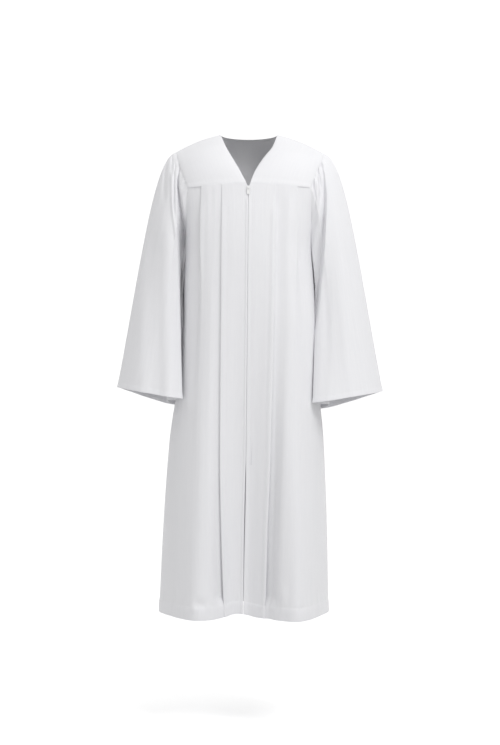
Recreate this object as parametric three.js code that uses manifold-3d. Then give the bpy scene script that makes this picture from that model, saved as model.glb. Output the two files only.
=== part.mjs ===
// A choir robe in the form it has when worn: two pleated fronts closed by a zip, a fluted back, a yoke of
// three pieces over the shoulders and two bell sleeves. It is hollow, and open at neck, cuffs and hem.
// Millimetres, +Z up. The wearer faces -Y, so the wearer's left is +X. The origin lies midway between the
// neck ends of the two shoulder seams, where the shoulders carry the robe.
import * as THREE from "three";
import { mergeVertices } from "three/addons/utils/BufferGeometryUtils.js";
import Module from "manifold-3d";

const wasm = await Module();
wasm.setup();

// Cloth
const CLOTH = 1.0; // thickness of one layer of cloth
const TURNED_HEM = 0.8; // what the turned-up hem adds on the inside
const SEAM = 0.3; // gap between two pieces where they are sewn together
const HEM_DEPTH = 32;

// Heights
const YOKE_CENTRE = -131; // front yoke seam at the zip
const YOKE_SIDE = -138; // front and back yoke seams at the armholes
const UNDERARM = -282;
const ZIP_END = -819;
const HEM = -1190;

// Level sections of the body, a row for each height. Squareness 2 is an ellipse; the dip is how far the
// closure lies behind the cloth on either side of it.
// height, half width, front depth, back depth, centre x, front squareness, back squareness, dip
const BODY = [
  [-120, 190, 102, 98, 0, 2.5, 2.5, 0],
  [-165, 176, 107, 111, 0, 2.5, 2.5, 0],
  [-205, 164, 113, 117, 0, 2.5, 2.5, 1],
  [-285, 157, 122, 122, -1, 2.4, 2.4, 3],
  [-350, 161, 127, 125, 0, 2.4, 2.4, 6],
  [-450, 167, 134, 131, 3, 2.4, 2.4, 11],
  [-540, 171, 140, 136, 1, 2.3, 2.35, 16],
  [-640, 178, 148, 142, -2.5, 2.15, 2.3, 24],
  [-763, 192, 158, 150, -6, 1.95, 2.2, 36],
  [-1000, 205, 180, 174, -10, 1.75, 2.1, 62],
  [-1190, 211, 198, 192, -13, 1.6, 2.05, 83],
];
const DIP_WIDTH = 70;

// The lobe in which each front stands out below its outer pleat.
// height, x of the right one, how far it stands out, x of the left one, how far it stands out
const LOBES = [
  [-400, -124, 0, 122, 0],
  [-540, -128, 2, 123, 5],
  [-640, -130, 6, 124, 12],
  [-763, -132, 14, 125, 26],
  [-1000, -136, 28, 127, 50],
  [-1190, -138, 42, 127, 71],
];
const LOBE_WIDTH = { right: 50, left: 54 };

// The closure line, and half the gap between the two front edges.
// height, x, half gap
const CLOSURE = [
  [-120, -1.4, 7.0],
  [-131, -1.4, 4.4],
  [-138, -1.5, 2.2],
  [-152, -1.6, 1.5],
  [-175, -1.8, 0.5],
  [-419, -3.8, 0.5],
  [-800, -7.5, 0.5],
  [-860, -8.5, 1.2],
  [-960, -10.6, 1.5],
  [-1090, -13.0, 1.1],
  [-1190, -14.3, 0.8],
];

// Knife pleats of the fronts. Each is sewn under the yoke, lies over its side neighbour and opens downwards.
// height, distance of the fold from x = 0, under-fold, curl radius, overlap (1 folded flat, 0 a soft step)
const PLEATS = {
  right: [
    [
      [-120, 66, 25, 0.9, 1.0],
      [-419, 68, 20, 1.1, 1.0],
      [-800, 70.5, 15, 1.5, 1.0],
      [-1000, 66, 12, 1.9, 1.0],
      [-1190, 58, 10, 2.4, 1.0],
    ],
    [
      [-120, 117, 22, 0.9, 1.0],
      [-260, 120, 14, 1.2, 0.9],
      [-419, 122, 8, 1.6, 0.35],
      [-800, 132, 6, 0.8, 0.0],
      [-1190, 138, 6, 0.5, 0.0],
    ],
  ],
  left: [
    [
      [-120, 66, 25, 0.9, 1.0],
      [-419, 61, 20, 1.1, 1.0],
      [-800, 51, 15, 1.5, 1.0],
      [-1000, 42.6, 12, 1.9, 1.0],
      [-1190, 36.5, 10, 2.4, 1.0],
    ],
    [
      [-120, 120, 22, 0.9, 1.0],
      [-260, 121, 12, 1.2, 0.8],
      [-419, 122, 8, 1.6, 0.25],
      [-800, 124, 6, 0.8, 0.0],
      [-1190, 127, 6, 0.5, 0.0],
    ],
  ],
};
const SOFT_STEP = 34; // width of a pleat that has opened into a soft step
const PLEAT_CLEAR = 3; // curl radii from a fold to where the stretch beyond it starts
const RISE_BETWEEN = 0.6; // share of the stretch beyond a pleat over which the cloth rises from under it
const RISE_AT_SIDE = 0.45;

// Flutes of the back, from the wearer's right side to the left.
// place (-1 to 1 along the back), half width, depth at the yoke, depth at the hem
const FLUTES = [
  [-0.83, 0.1, 0.0, 9],
  [-0.64, 0.1, 3.6, 15],
  [-0.46, 0.09, 3.0, 19],
  [-0.29, 0.095, 4.0, 16],
  [-0.12, 0.085, 3.4, 20],
  [0.05, 0.095, 4.2, 17],
  [0.22, 0.085, 3.2, 21],
  [0.4, 0.095, 4.0, 16],
  [0.57, 0.09, 3.4, 18],
  [0.74, 0.09, 1.5, 13],
  [0.89, 0.07, 0.0, 7],
];

// Shoulders and neck
const NECK_HALF = 71;
const NAPE_DEPTH = 57;
const NAPE_DROP = 5;
const SHOULDER_RISE = 5; // how far the shoulder seam stands above a straight line
const SHOULDER = {
  right: new THREE.Vector3(-181, 3, -42.5),
  left: new THREE.Vector3(186, 3, -46),
};
const ARM_FRONT = new THREE.Vector3(172, -50, -90); // what the front armhole curve leans towards
const ARM_BACK = new THREE.Vector3(160, 60, -90);
const FRONT_BULGE = new THREE.Vector3(0, -9, 7);
const BACK_BULGE = new THREE.Vector3(0, 34, 14); // over the shoulder blades
const SPINE_BULGE = new THREE.Vector3(0, -20, -6); // what the middle of the back lacks of it
const SPINE_WIDTH = 0.17;
const BULGE_ACROSS = 0.6; // exponents that widen the bulges across and down their patch
const BULGE_DOWN = 0.8;
const CORNER_SHARE = 0.645; // the armhole corner's place between centre and side seam
const ARMHOLE_ROUND = 2.3; // how fast the armhole drops from its corner to the underarm

// Neck edge of each front yoke from shoulder to closure. x is the distance from the middle.
const NECK_EDGE = {
  right: [
    [NECK_HALF, 0, 0],
    [57, -40, -35],
    [42, -63, -63],
    [24.5, -83, -94.5],
    [5.8, -99.5, YOKE_CENTRE],
  ],
  left: [
    [NECK_HALF, 0, 0],
    [62, -26, -26],
    [55, -41, -40],
    [41, -56, -58],
    [26, -71, -80],
    [13, -86, -104],
    [3.0, -99.5, YOKE_CENTRE],
  ],
};

// Sleeve: the ring runs from the underarm (0) by the front to the shoulder (0.5) and back behind.
// ring place, cuff out, cuff y, cuff z, start out, start y, start z, lean out, lean y
const SLEEVE = [
  [0.0, 203, 8, -662, 2, 0, -46, -0.06, 0.0],
  [0.05, 197, -28, -662, 3, 0, -44, -0.05, 0.04],
  [0.11, 183, -64, -661, 6, 2, -40, -0.04, 0.14],
  [0.17, 160, -92, -658, 14, 4, -34, 0.04, 0.2],
  [0.23, 196, -112, -653, 26, 8, -24, -0.05, 0.24],
  [0.31, 243, -106, -645, 32, 4, -18, -0.12, 0.16],
  [0.4, 292, -70, -637, 40, -6, -12, -0.17, 0.05],
  [0.5, 329, 5, -631, 56, 0, -6, -0.19, 0.0],
  [0.6, 292, 80, -646, 40, 16, -12, -0.17, 0.0],
  [0.69, 243, 118, -663, 30, 26, -18, -0.12, 0.0],
  [0.77, 200, 124, -675, 20, 26, -24, -0.06, -0.05],
  [0.83, 160, 104, -680, 4, 16, -34, 0.02, -0.08],
  [0.89, 182, 72, -676, 4, 8, -40, -0.01, -0.03],
  [0.95, 200, 38, -669, 4, 2, -44, -0.05, 0.0],
  [1.0, 203, 8, -662, 4, 0, -46, -0.05, 0.0],
];
const ARMHOLE_CLEAR = 1.9; // from the middle of the body's cloth to the middle of the sleeve's
const LEAN_SHARE = 0.55; // how much of its height a sleeve line hangs straight above the cuff
// Each side's direction in x, what its cuff adds at the inner and the outer corner, and how much lower it hangs.
const SIDE_OF = {
  right: { sign: -1, inner: 3, reach: 0, drop: 0 },
  left: { sign: 1, inner: -4, reach: 5, drop: 10 },
};
const INNER_OUT = 160;
const OUTER_OUT = 329;

// Folds that follow the sleeve's lines: gathers at the cap, then the long soft ones behind.
// ring place, half width, depth, where along the sleeve it is deepest, half length
const SLEEVE_FOLDS = [
  [0.3, 0.02, -3.6, 0.08, 0.22],
  [0.342, 0.018, -4.0, 0.09, 0.26],
  [0.382, 0.018, -3.4, 0.08, 0.2],
  [0.42, 0.018, -3.8, 0.08, 0.24],
  [0.458, 0.016, -3.0, 0.07, 0.18],
  [0.545, 0.018, -3.0, 0.07, 0.18],
  [0.585, 0.018, -3.8, 0.08, 0.24],
  [0.625, 0.018, -3.4, 0.08, 0.22],
  [0.665, 0.02, -4.0, 0.09, 0.26],
  [0.705, 0.02, -3.4, 0.08, 0.2],
  [0.6, 0.05, -8, 0.75, 0.5],
  [0.7, 0.045, 7, 0.7, 0.45],
  [0.76, 0.035, -9, 0.55, 0.5],
];

// The fold at the front of each sleeve. It hangs straight down from the shoulder: outside it the sleeve is
// one smooth lobe, and inside it the cloth lies deeper and comes forward again towards the armhole.
// height, distance from the middle, depth, reach: how far inside the edge the cloth has come forward again
const FOLD_EDGE = {
  right: [
    [-60, 176, 0, 8],
    [-92, 177, 2, 8],
    [-122, 178, 3, 8],
    [-171, 177.5, 6, 10],
    [-208, 175, 14, 14],
    [-245, 174, 30, 26],
    [-290, 173, 42, 60],
    [-392, 170, 42, 60],
    [-465, 168, 26, 60],
    [-560, 166, 0, 60],
  ],
  left: [
    [-45, 178, 0, 12],
    [-66, 179, 4, 12],
    [-81, 183, 6, 12],
    [-110, 187, 9, 12],
    [-134, 188.5, 11, 12],
    [-159, 190, 13, 12],
    [-208, 188, 16, 12],
    [-245, 186, 20, 14],
    [-282, 184, 24, 16],
    [-392, 174, 24, 20],
    [-453, 168, 12, 26],
    [-539, 158, 0, 26],
  ],
};

// Inside that edge no cloth stands further forward than this: height, y near the armhole, y at the fold
const FOLD_FLOOR = {
  right: [
    [-122, -130, -130],
    [-150, -78, -78],
    [-171, -72, -68],
    [-208, -66, -58],
    [-245, -56, -44],
    [-290, -50, -38],
    [-392, -60, -50],
    [-465, -90, -85],
    [-540, -130, -130],
  ],
  left: [
    [-122, -130, -130],
    [-150, -76, -70],
    [-171, -72, -62],
    [-208, -71, -57],
    [-245, -69, -53],
    [-290, -66, -50],
    [-340, -68, -52],
    [-392, -76, -62],
    [-465, -95, -88],
    [-540, -130, -130],
  ],
};
const FLOOR_REACH = 28; // distance from the fold over which the cloth comes forward again
const FLOOR_SOFT = 6; // how softly it turns onto the floor
const FOLD_STEP = 12; // width of the step from the lobe back to the deeper cloth
const FOLD_ROLL = 0.2; // how far the lobe's edge stands forward, as a share of the depth
const ROLL_REACH = 14;

// Zip
const TAPE_HALF = 15;
const TAPE = 1.0;
const TAPE_DROP = 6; // how far the tape starts below the yoke seam
const SLIDER_Z = -143;
const PLATE = { half: 4.5, halfHeight: 5, back: 1.4, thick: 1.4, corner: 1.6 };
const NECK_OF_SLIDER = { half: 0.8, halfHeight: 3.5, short: 0.4 }; // short: what it stops short of the tape
const BAIL = { half: 1.2, thick: 0.9, window: 1.25, leg: 1.0, clear: 0.25 };
const ROOT = 0.5; // how deep one piece of the slider is set into the next
const TAB = { half: 3.3, length: 15.5, thick: 1.2, bar: 1.2, eye: 4.6, eyeHalf: 1.7, corner: 0.5 };

// Grid sizes
const BODY_ROWS = [0, 0.012, 0.035, 0.07, 0.115, 0.17, 0.24, 0.32, 0.41, 0.5, 0.6, 0.7, 0.8, 0.89, 0.965, 1];
const RULER_STEPS = 96;

const robeCloth = () => new THREE.MeshStandardMaterial({ color: 0xf2f2f4, roughness: 0.68, metalness: 0 });
const tapeCloth = () => new THREE.MeshStandardMaterial({ color: 0xe9e9ec, roughness: 0.75, metalness: 0 });
const enamel = () => new THREE.MeshStandardMaterial({ color: 0xf4f4f4, roughness: 0.35, metalness: 0.1 });

const mix = (a, b, t) => a + (b - a) * t;
const clamp = (v, low, high) => Math.min(high, Math.max(low, v));
const bump = (t) => 0.5 * (1 + Math.cos(Math.PI * clamp(t, -1, 1))); // 1 at 0, and 0 from -1 and 1 outwards
const softStep = (t) => THREE.MathUtils.smoothstep(t, 0, 1);
const signOf = (side) => SIDE_OF[side].sign;

// Row of a table at a key between its rows: a smooth curve through every column.
function rowAt(table, key) {
  const down = table[0][0] > table[1][0] ? -1 : 1;
  let i = table.findIndex((row, k) => k > 0 && down * (row[0] - key) >= 0);
  if (i < 0) i = table.length - 1;
  const a = table[i - 1];
  const b = table[i];
  const span = b[0] - a[0];
  const t = clamp((key - a[0]) / span, 0, 1);
  const before = table[i - 2];
  const after = table[i + 1];
  return a.map((value, c) => {
    const step = (b[c] - value) / span;
    const slopeA = before ? slope(step, (value - before[c]) / (a[0] - before[0])) : step;
    const slopeB = after ? slope(step, (after[c] - b[c]) / (after[0] - b[0])) : step;
    const h = t * t * (3 - 2 * t);
    const tangents = slopeA * (t ** 3 - 2 * t * t + t) + slopeB * (t ** 3 - t * t);
    return mix(value, b[c], h) + tangents * span;
  });
}

// Slope between two stretches that never overshoots either.
const slope = (p, q) => (p * q <= 0 ? 0 : (2 * p * q) / (p + q));

const closureAt = (z) => rowAt(CLOSURE, z);

// How far the front's cloth stands in front of its plain section at height z, along the middle line x.
function frontSwell(z, x, dip) {
  const [, rightX, rightOut, leftX, leftOut] = rowAt(LOBES, z);
  const bell = (centre, width) => Math.exp(-(((x - centre) / width) ** 2));
  const lobes = rightOut * bell(rightX, LOBE_WIDTH.right) + leftOut * bell(leftX, LOBE_WIDTH.left);
  return lobes - dip * bell(closureAt(z)[1], DIP_WIDTH);
}

// The body's level section, front or back: places along it by length from the middle line.
const rulers = new Map();
function ruler(z, face) {
  const key = `${face}${z.toFixed(4)}`;
  if (rulers.has(key)) return rulers.get(key);
  const [, half, front, back, centre, frontSquare, backSquare, dip] = rowAt(BODY, z);
  const isFront = face === "front";
  const facing = isFront ? -1 : 1;
  const depth = isFront ? front : back;
  const square = isFront ? frontSquare : backSquare;
  const x = [];
  const y = [];
  const s = [];
  for (let i = 0; i <= RULER_STEPS; i += 1) {
    const turn = (i / RULER_STEPS - 0.5) * Math.PI;
    const across = Math.abs(Math.sin(turn) / half) ** square;
    const reach = (across + Math.abs(Math.cos(turn) / depth) ** square) ** (-1 / square);
    x.push(centre + reach * Math.sin(turn));
    const swell = isFront ? frontSwell(z, x[i], dip) * Math.min(1, 2 * Math.cos(turn)) : 0;
    y.push(facing * (reach * Math.cos(turn) + swell));
    s.push(i ? s[i - 1] + Math.hypot(x[i] - x[i - 1], y[i] - y[i - 1]) : 0);
  }
  const zero = s[RULER_STEPS / 2];
  const made = { x, y, s: s.map((v) => v - zero), facing };
  rulers.set(key, made);
  return made;
}

const girth = (z, face, sign) => {
  const r = ruler(z, face);
  return sign < 0 ? -r.s[0] : r.s[RULER_STEPS];
};

function lookUp(keys, key) {
  let i = keys.findIndex((v) => v >= key);
  i = clamp(i < 0 ? keys.length - 1 : i, 1, keys.length - 1);
  return [i, (key - keys[i - 1]) / (keys[i] - keys[i - 1])];
}

// Length from the middle line at which the section reaches x.
function lengthAtX(z, face, x) {
  const r = ruler(z, face);
  const [i, t] = lookUp(r.x, x);
  return mix(r.s[i - 1], r.s[i], t);
}

// Point at length s along the section, moved out by d. Front and back meet face to face at the side seams,
// so both have the same normal there.
function bodyPoint(z, face, s, d) {
  const r = ruler(z, face);
  const [i, t] = lookUp(r.s, s);
  const normal = (k) => {
    if (k === 0 || k === RULER_STEPS) return new THREE.Vector2(Math.sign(r.s[k]), 0);
    const v = new THREE.Vector2(r.y[k + 1] - r.y[k - 1], r.x[k - 1] - r.x[k + 1]).normalize();
    return v.multiplyScalar(-r.facing);
  };
  const n = normal(i - 1).lerp(normal(i), clamp(t, 0, 1)).normalize();
  return new THREE.Vector3(mix(r.x[i - 1], r.x[i], t) + n.x * d, mix(r.y[i - 1], r.y[i], t) + n.y * d, z);
}

// One pleat in the plane of the section: [length, height off the section] from the fold's top round to its
// bottom. A sharp pleat curls round its fold and back under it; an open one is a soft step down.
function pleatBends(fold, under, curl, overlap) {
  const bends = [];
  for (const a of [90, 30, -30, -90]) {
    const angle = THREE.MathUtils.degToRad(a);
    bends.push([fold - curl + curl * Math.cos(angle), -curl + curl * Math.sin(angle)]);
  }
  for (const a of [90, 0, -90]) {
    const angle = THREE.MathUtils.degToRad(a);
    bends.push([fold - under - curl * Math.cos(angle), -3 * curl + curl * Math.sin(angle)]);
  }
  return bends.map(([u, d], k) => {
    const share = k / (bends.length - 1);
    const softU = fold + SOFT_STEP * (share - 0.5);
    const softD = -4 * curl * softStep(share);
    return [mix(softU, u, overlap), mix(softD, d, overlap)];
  });
}

// Shares of a stretch between two pleats, from the last one to the armhole's corner, and on to the side.
const PANEL_SHARES = [0, 0.25, 0.5, 0.75];
const BETWEEN_SHARES = [0, 0.16, 0.42, 0.72];
const SIDE_SHARES = [0, 0.33, 0.67];
const ARMHOLE_SHARES = [0, 0.05, 0.14, 0.27, 0.42, 0.6, 0.8, 1];

// Middle line of a front's cloth at height z, as [length from the middle, height off the section].
function frontPath(side, z) {
  const sign = signOf(side);
  const [, closure, gap] = closureAt(z);
  const away = (x) => sign * lengthAtX(z, "front", sign * x);
  const path = [];
  let from = away(sign * closure + gap);
  let low = 0;
  PLEATS[side].forEach((table, n) => {
    const [, x, under, curl, overlap] = rowAt(table, z);
    const fold = away(x);
    const bends = pleatBends(fold, under, curl, overlap);
    const to = bends[0][0];
    for (const share of n ? BETWEEN_SHARES : PANEL_SHARES) {
      path.push([mix(from, to, share), low * (1 - softStep(share / RISE_BETWEEN))]);
    }
    path.push(...bends);
    from = Math.max(fold, bends.at(-1)[0]) + PLEAT_CLEAR * curl;
    low = bends.at(-1)[1];
  });
  const end = girth(z, "front", sign) - SEAM / 2;
  const cornerShare = sideCorner(side);
  const rest = ARMHOLE_SHARES.map((share) => mix(cornerShare, 1, share));
  for (const share of [...SIDE_SHARES.map((v) => v * cornerShare), ...rest]) {
    path.push([mix(from, end, share), low * (1 - softStep(share / RISE_AT_SIDE))]);
  }
  return path;
}

// Share of the stretch beyond the last pleat at which the armhole's corner lies.
function sideCorner(side) {
  const sign = signOf(side);
  const z = YOKE_SIDE;
  const [, x, , curl] = rowAt(PLEATS[side][1], z);
  const from = sign * lengthAtX(z, "front", sign * x) + PLEAT_CLEAR * curl;
  const end = girth(z, "front", sign);
  return (CORNER_SHARE * end - from) / (end - from);
}

const armholeDrop = (share) => mix(YOKE_SIDE, UNDERARM, 1 - (1 - share) ** ARMHOLE_ROUND);

// The hem's edge rises a little where the two fronts meet.
const HEM_RISE = { height: 8, x: -14, width: 34 };
const hemRise = (x) => HEM_RISE.height * Math.exp(-(((x - HEM_RISE.x) / HEM_RISE.width) ** 2));
const isHem = (z, x) => z <= HEM + HEM_DEPTH + hemRise(x) + SEAM;

// Height of the yoke seam at a share of the way from closure to armhole.
const seamHeight = (share) => mix(YOKE_CENTRE, YOKE_SIDE, share);

// Closed wall from two grids of points, outer and inner, both [row][column].
function closeWall(name, outer, inner, ring, material) {
  const rows = outer.length;
  const columns = outer[0].length;
  const position = [];
  for (const grid of [outer, inner]) {
    for (const row of grid) {
      for (const p of row) position.push(p.x, p.y, p.z);
    }
  }
  const at = (face, r, c) => face * rows * columns + r * columns + (c % columns);
  const index = [];
  const quad = (a, b, c, d) => index.push(a, b, c, a, c, d);
  const across = ring ? columns : columns - 1;
  for (let r = 0; r < rows - 1; r += 1) {
    for (let c = 0; c < across; c += 1) {
      quad(at(0, r, c), at(0, r + 1, c), at(0, r + 1, c + 1), at(0, r, c + 1));
      quad(at(1, r, c), at(1, r, c + 1), at(1, r + 1, c + 1), at(1, r + 1, c));
    }
  }
  for (let c = 0; c < across; c += 1) {
    quad(at(0, 0, c), at(0, 0, c + 1), at(1, 0, c + 1), at(1, 0, c));
    quad(at(0, rows - 1, c + 1), at(0, rows - 1, c), at(1, rows - 1, c), at(1, rows - 1, c + 1));
  }
  for (let r = 0; r < rows - 1 && !ring; r += 1) {
    quad(at(0, r + 1, 0), at(0, r, 0), at(1, r, 0), at(1, r + 1, 0));
    const last = columns - 1;
    quad(at(0, r, last), at(0, r + 1, last), at(1, r + 1, last), at(1, r, last));
  }
  const geometry = new THREE.BufferGeometry();
  geometry.setAttribute("position", new THREE.BufferAttribute(new Float32Array(position), 3));
  geometry.setIndex(volumeOf(position, index) < 0 ? index.reverse() : index);
  geometry.computeVertexNormals();
  const mesh = new THREE.Mesh(geometry, material);
  mesh.name = name;
  return mesh;
}

function volumeOf(position, index) {
  const corner = (i) => new THREE.Vector3().fromArray(position, 3 * i);
  let sum = 0;
  for (let i = 0; i < index.length; i += 3) {
    const [a, b, c] = [corner(index[i]), corner(index[i + 1]), corner(index[i + 2])];
    sum += a.dot(b.cross(c)) / 6;
  }
  return sum;
}

// Normals of a grid of points, facing away from the inside point given for each.
function gridNormals(grid, ring, insideOf) {
  const rows = grid.length;
  const columns = grid[0].length;
  return grid.map((row, r) =>
    row.map((p, c) => {
      const left = ring ? row[(c + columns - 1) % columns] : row[Math.max(c - 1, 0)];
      const right = ring ? row[(c + 1) % columns] : row[Math.min(c + 1, columns - 1)];
      const down = grid[Math.min(r + 1, rows - 1)][c].clone().sub(grid[Math.max(r - 1, 0)][c]);
      const normal = right.clone().sub(left).cross(down).normalize();
      return normal.dot(p.clone().sub(insideOf(p))) < 0 ? normal.negate() : normal;
    }),
  );
}

// Wall of one thickness about a grid of points; extra(r, c) is what is added on its inside. A square top
// edge stands upright in y, so that it meets its neighbour over a shoulder face to face.
function wallInside(name, grid, ring, insideOf, material, extra = () => 0, squareTop = false) {
  const normals = gridNormals(grid, ring, insideOf);
  if (squareTop) normals[0].forEach((n) => n.setY(0).normalize());
  const shift = (by) =>
    grid.map((row, r) => row.map((p, c) => p.clone().addScaledVector(normals[r][c], by(r, c))));
  return closeWall(name, shift(() => CLOTH / 2), shift((r, c) => -CLOTH / 2 - extra(r, c)), ring, material);
}

// --- Fronts -----------------------------------------------------------------------------------------

// Top of each column of a front: the yoke seam as far as the armhole's corner, then the armhole.
function frontTops(side) {
  const path = frontPath(side, YOKE_SIDE);
  const sign = signOf(side);
  const corner = CORNER_SHARE * girth(YOKE_SIDE, "front", sign);
  const first = path.length - ARMHOLE_SHARES.length;
  return path.map(([u], c) => {
    if (c >= first) return armholeDrop(ARMHOLE_SHARES[c - first]) - SEAM;
    return seamHeight(clamp(u / corner, 0, 1)) - SEAM;
  });
}

// Point of a front's column at height z, moved off the middle of the cloth by `off`.
function frontPoint(side, column, z, off) {
  const path = frontPath(side, z);
  const a = path[Math.max(column - 1, 0)];
  const b = path[Math.min(column + 1, path.length - 1)];
  const run = new THREE.Vector2(b[0] - a[0], b[1] - a[1]).normalize();
  const u = path[column][0] - run.y * off;
  const d = path[column][1] + run.x * off;
  return bodyPoint(z, "front", signOf(side) * u, d);
}

function front(side) {
  const tops = frontTops(side);
  const grids = [1, -1].map((face) =>
    BODY_ROWS.map((share) =>
      tops.map((top, c) => {
        const x = frontPoint(side, c, HEM, 0).x;
        const z = mix(top, HEM + hemRise(x), share);
        const hem = face < 0 && isHem(z, x) ? TURNED_HEM : 0;
        return frontPoint(side, c, z, face * (CLOTH / 2 + hem));
      }),
    ),
  );
  return closeWall(`front_${side}`, grids[0], grids[1], false, robeCloth());
}

// Armhole edge of a front from corner (0) to underarm (1).
function frontArmhole(side, share) {
  const z = armholeDrop(share);
  const sign = signOf(side);
  const path = frontPath(side, z);
  const corner = path[path.length - ARMHOLE_SHARES.length][0];
  return bodyPoint(z, "front", sign * mix(corner, girth(z, "front", sign), share), 0);
}

// --- Back -------------------------------------------------------------------------------------------

const BACK_HALF_COLUMNS = 20;
const BACK_ARM_SHARES = [0.06, 0.17, 0.31, 0.48, 0.66, 0.83, 1];

// Height off the section of the back's flutes at a place from -1 (wearer's right) to 1. Between them the
// cloth lies a little inside the section, as it does not at the side seams.
const FLUTE_GROWTH = 0.8; // exponent of how they deepen from yoke to hem
const HOLLOW = { atYoke: 1.5, atHem: 8, side: 0.25 };
function fluteHeight(place, z) {
  const grow = clamp((z - YOKE_SIDE) / (HEM - YOKE_SIDE), 0, 1) ** FLUTE_GROWTH;
  const hollow = mix(HOLLOW.atYoke, HOLLOW.atHem, grow) * clamp((1 - Math.abs(place)) / HOLLOW.side, 0, 1);
  const ridge = ([centre, half, atYoke, atHem]) => mix(atYoke, atHem, grow) * bump((place - centre) / half);
  return FLUTES.reduce((sum, flute) => sum + ridge(flute), -hollow);
}

function backColumns() {
  const half = [];
  for (let i = 0; i <= BACK_HALF_COLUMNS; i += 1) half.push((i / BACK_HALF_COLUMNS) * CORNER_SHARE);
  for (const share of BACK_ARM_SHARES) half.push(mix(CORNER_SHARE, 1, share));
  return [...half.slice(1).reverse().map((v) => -v), ...half];
}

function backTop(place) {
  const share = (Math.abs(place) - CORNER_SHARE) / (1 - CORNER_SHARE);
  return share <= 0 ? YOKE_SIDE - SEAM : armholeDrop(share) - SEAM;
}

function backPoint(place, z, d) {
  const sign = place < 0 ? -1 : 1;
  const length = girth(z, "back", sign) - SEAM / 2;
  return bodyPoint(z, "back", place * length, d);
}

function back() {
  const grid = BODY_ROWS.map((share) =>
    backColumns().map((place) => {
      const z = mix(backTop(place), HEM, share);
      return backPoint(place, z, fluteHeight(place, z));
    }),
  );
  const axis = (p) => new THREE.Vector3(0, 0, p.z);
  const hem = (r) => (r >= BODY_ROWS.length - 2 ? TURNED_HEM : 0);
  return wallInside("back", grid, false, axis, robeCloth(), hem);
}

const backArmhole = (side, share) =>
  backPoint(signOf(side) * mix(CORNER_SHARE, 1, share), armholeDrop(share), 0);

// --- Yoke -------------------------------------------------------------------------------------------

function curveThrough(rows, sign, share) {
  const points = rows.map(([x, y, z]) => new THREE.Vector3(sign * x, y, z));
  return new THREE.CatmullRomCurve3(points, false, "centripetal").getPoint(share);
}

const neckPoint = (side) => new THREE.Vector3(signOf(side) * NECK_HALF, 0, 0);

function shoulderSeam(side, share) {
  const p = neckPoint(side).lerp(SHOULDER[side], share);
  p.z += SHOULDER_RISE * Math.sin(Math.PI * share);
  return p;
}

// Armhole edge of the yoke from the shoulder seam (0) to the yoke seam (1).
function yokeArmhole(side, face, share) {
  const sign = signOf(side);
  const pull = face === "front" ? ARM_FRONT : ARM_BACK;
  const lean = new THREE.Vector3(sign * pull.x, pull.y, pull.z);
  const corner = face === "front" ? frontArmhole(side, 0) : backArmhole(side, 0);
  return new THREE.QuadraticBezierCurve3(SHOULDER[side], lean, corner).getPoint(share);
}

function yokeSeam(side, share) {
  const sign = signOf(side);
  const z = seamHeight(share);
  const [, closure, gap] = closureAt(z);
  const start = sign * lengthAtX(z, "front", closure + sign * gap);
  return bodyPoint(z, "front", sign * mix(start, CORNER_SHARE * girth(z, "front", sign), share), 0);
}

// Surface between four edges, each from 0 to 1: top and bottom run across, left and right run down.
function patch(top, bottom, left, right, u, v) {
  const corners = [top(0), top(1), bottom(0), bottom(1)];
  const weights = [(1 - u) * (1 - v), u * (1 - v), (1 - u) * v, u * v];
  const p = top(u).multiplyScalar(1 - v).addScaledVector(bottom(u), v);
  p.addScaledVector(left(v), 1 - u).addScaledVector(right(v), u);
  corners.forEach((corner, i) => p.addScaledVector(corner, -weights[i]));
  return p;
}

const steps = (count) => Array.from({ length: count + 1 }, (_, i) => i / count);
const YOKE_STEPS = 9;

// A point under the yoke in the wearer's body, off the middle by half of what p is; depth is its y.
const underYoke = (p, depth) => new THREE.Vector3(0.5 * p.x, depth, INSIDE.z);
const INSIDE = { depth: 20, z: -160 };

function yokeFront(side) {
  const sign = signOf(side);
  const neck = (v) => curveThrough(NECK_EDGE[side], sign, v);
  const grid = steps(YOKE_STEPS).map((v) =>
    steps(YOKE_STEPS).map((u) => {
      const top = (t) => shoulderSeam(side, t);
      const bottom = (t) => yokeSeam(side, t);
      const p = patch(top, bottom, neck, (t) => yokeArmhole(side, "front", t), u, v);
      p.addScaledVector(FRONT_BULGE, Math.sin(Math.PI * v) * Math.sin(Math.PI * u) ** BULGE_ACROSS);
      p.y -= (SEAM / 2) * (1 - v);
      return p;
    }),
  );
  const inside = (p) => underYoke(p, INSIDE.depth);
  return wallInside(`yoke_front_${side}`, grid, false, inside, robeCloth(), () => 0, true);
}

const NECK_SHARE = 0.28; // share of the back yoke's width that each shoulder seam takes
const SEAM_COLUMNS = [0, 0.09, 0.19, NECK_SHARE];
const NECK_COLUMNS = [0.33, 0.39, 0.445, 0.5, 0.555, 0.61, 0.67];
const YOKE_BACK_COLUMNS = [...SEAM_COLUMNS, ...NECK_COLUMNS, ...SEAM_COLUMNS.map((u) => 1 - u).reverse()];

function backTopEdge(share) {
  if (share < NECK_SHARE) return shoulderSeam("right", 1 - share / NECK_SHARE);
  if (share > 1 - NECK_SHARE) return shoulderSeam("left", 1 - (1 - share) / NECK_SHARE);
  const turn = ((share - NECK_SHARE) / (1 - 2 * NECK_SHARE)) * Math.PI;
  const across = Math.sin(turn);
  return new THREE.Vector3(-NECK_HALF * Math.cos(turn), NAPE_DEPTH * across, -NAPE_DROP * across);
}

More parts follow.
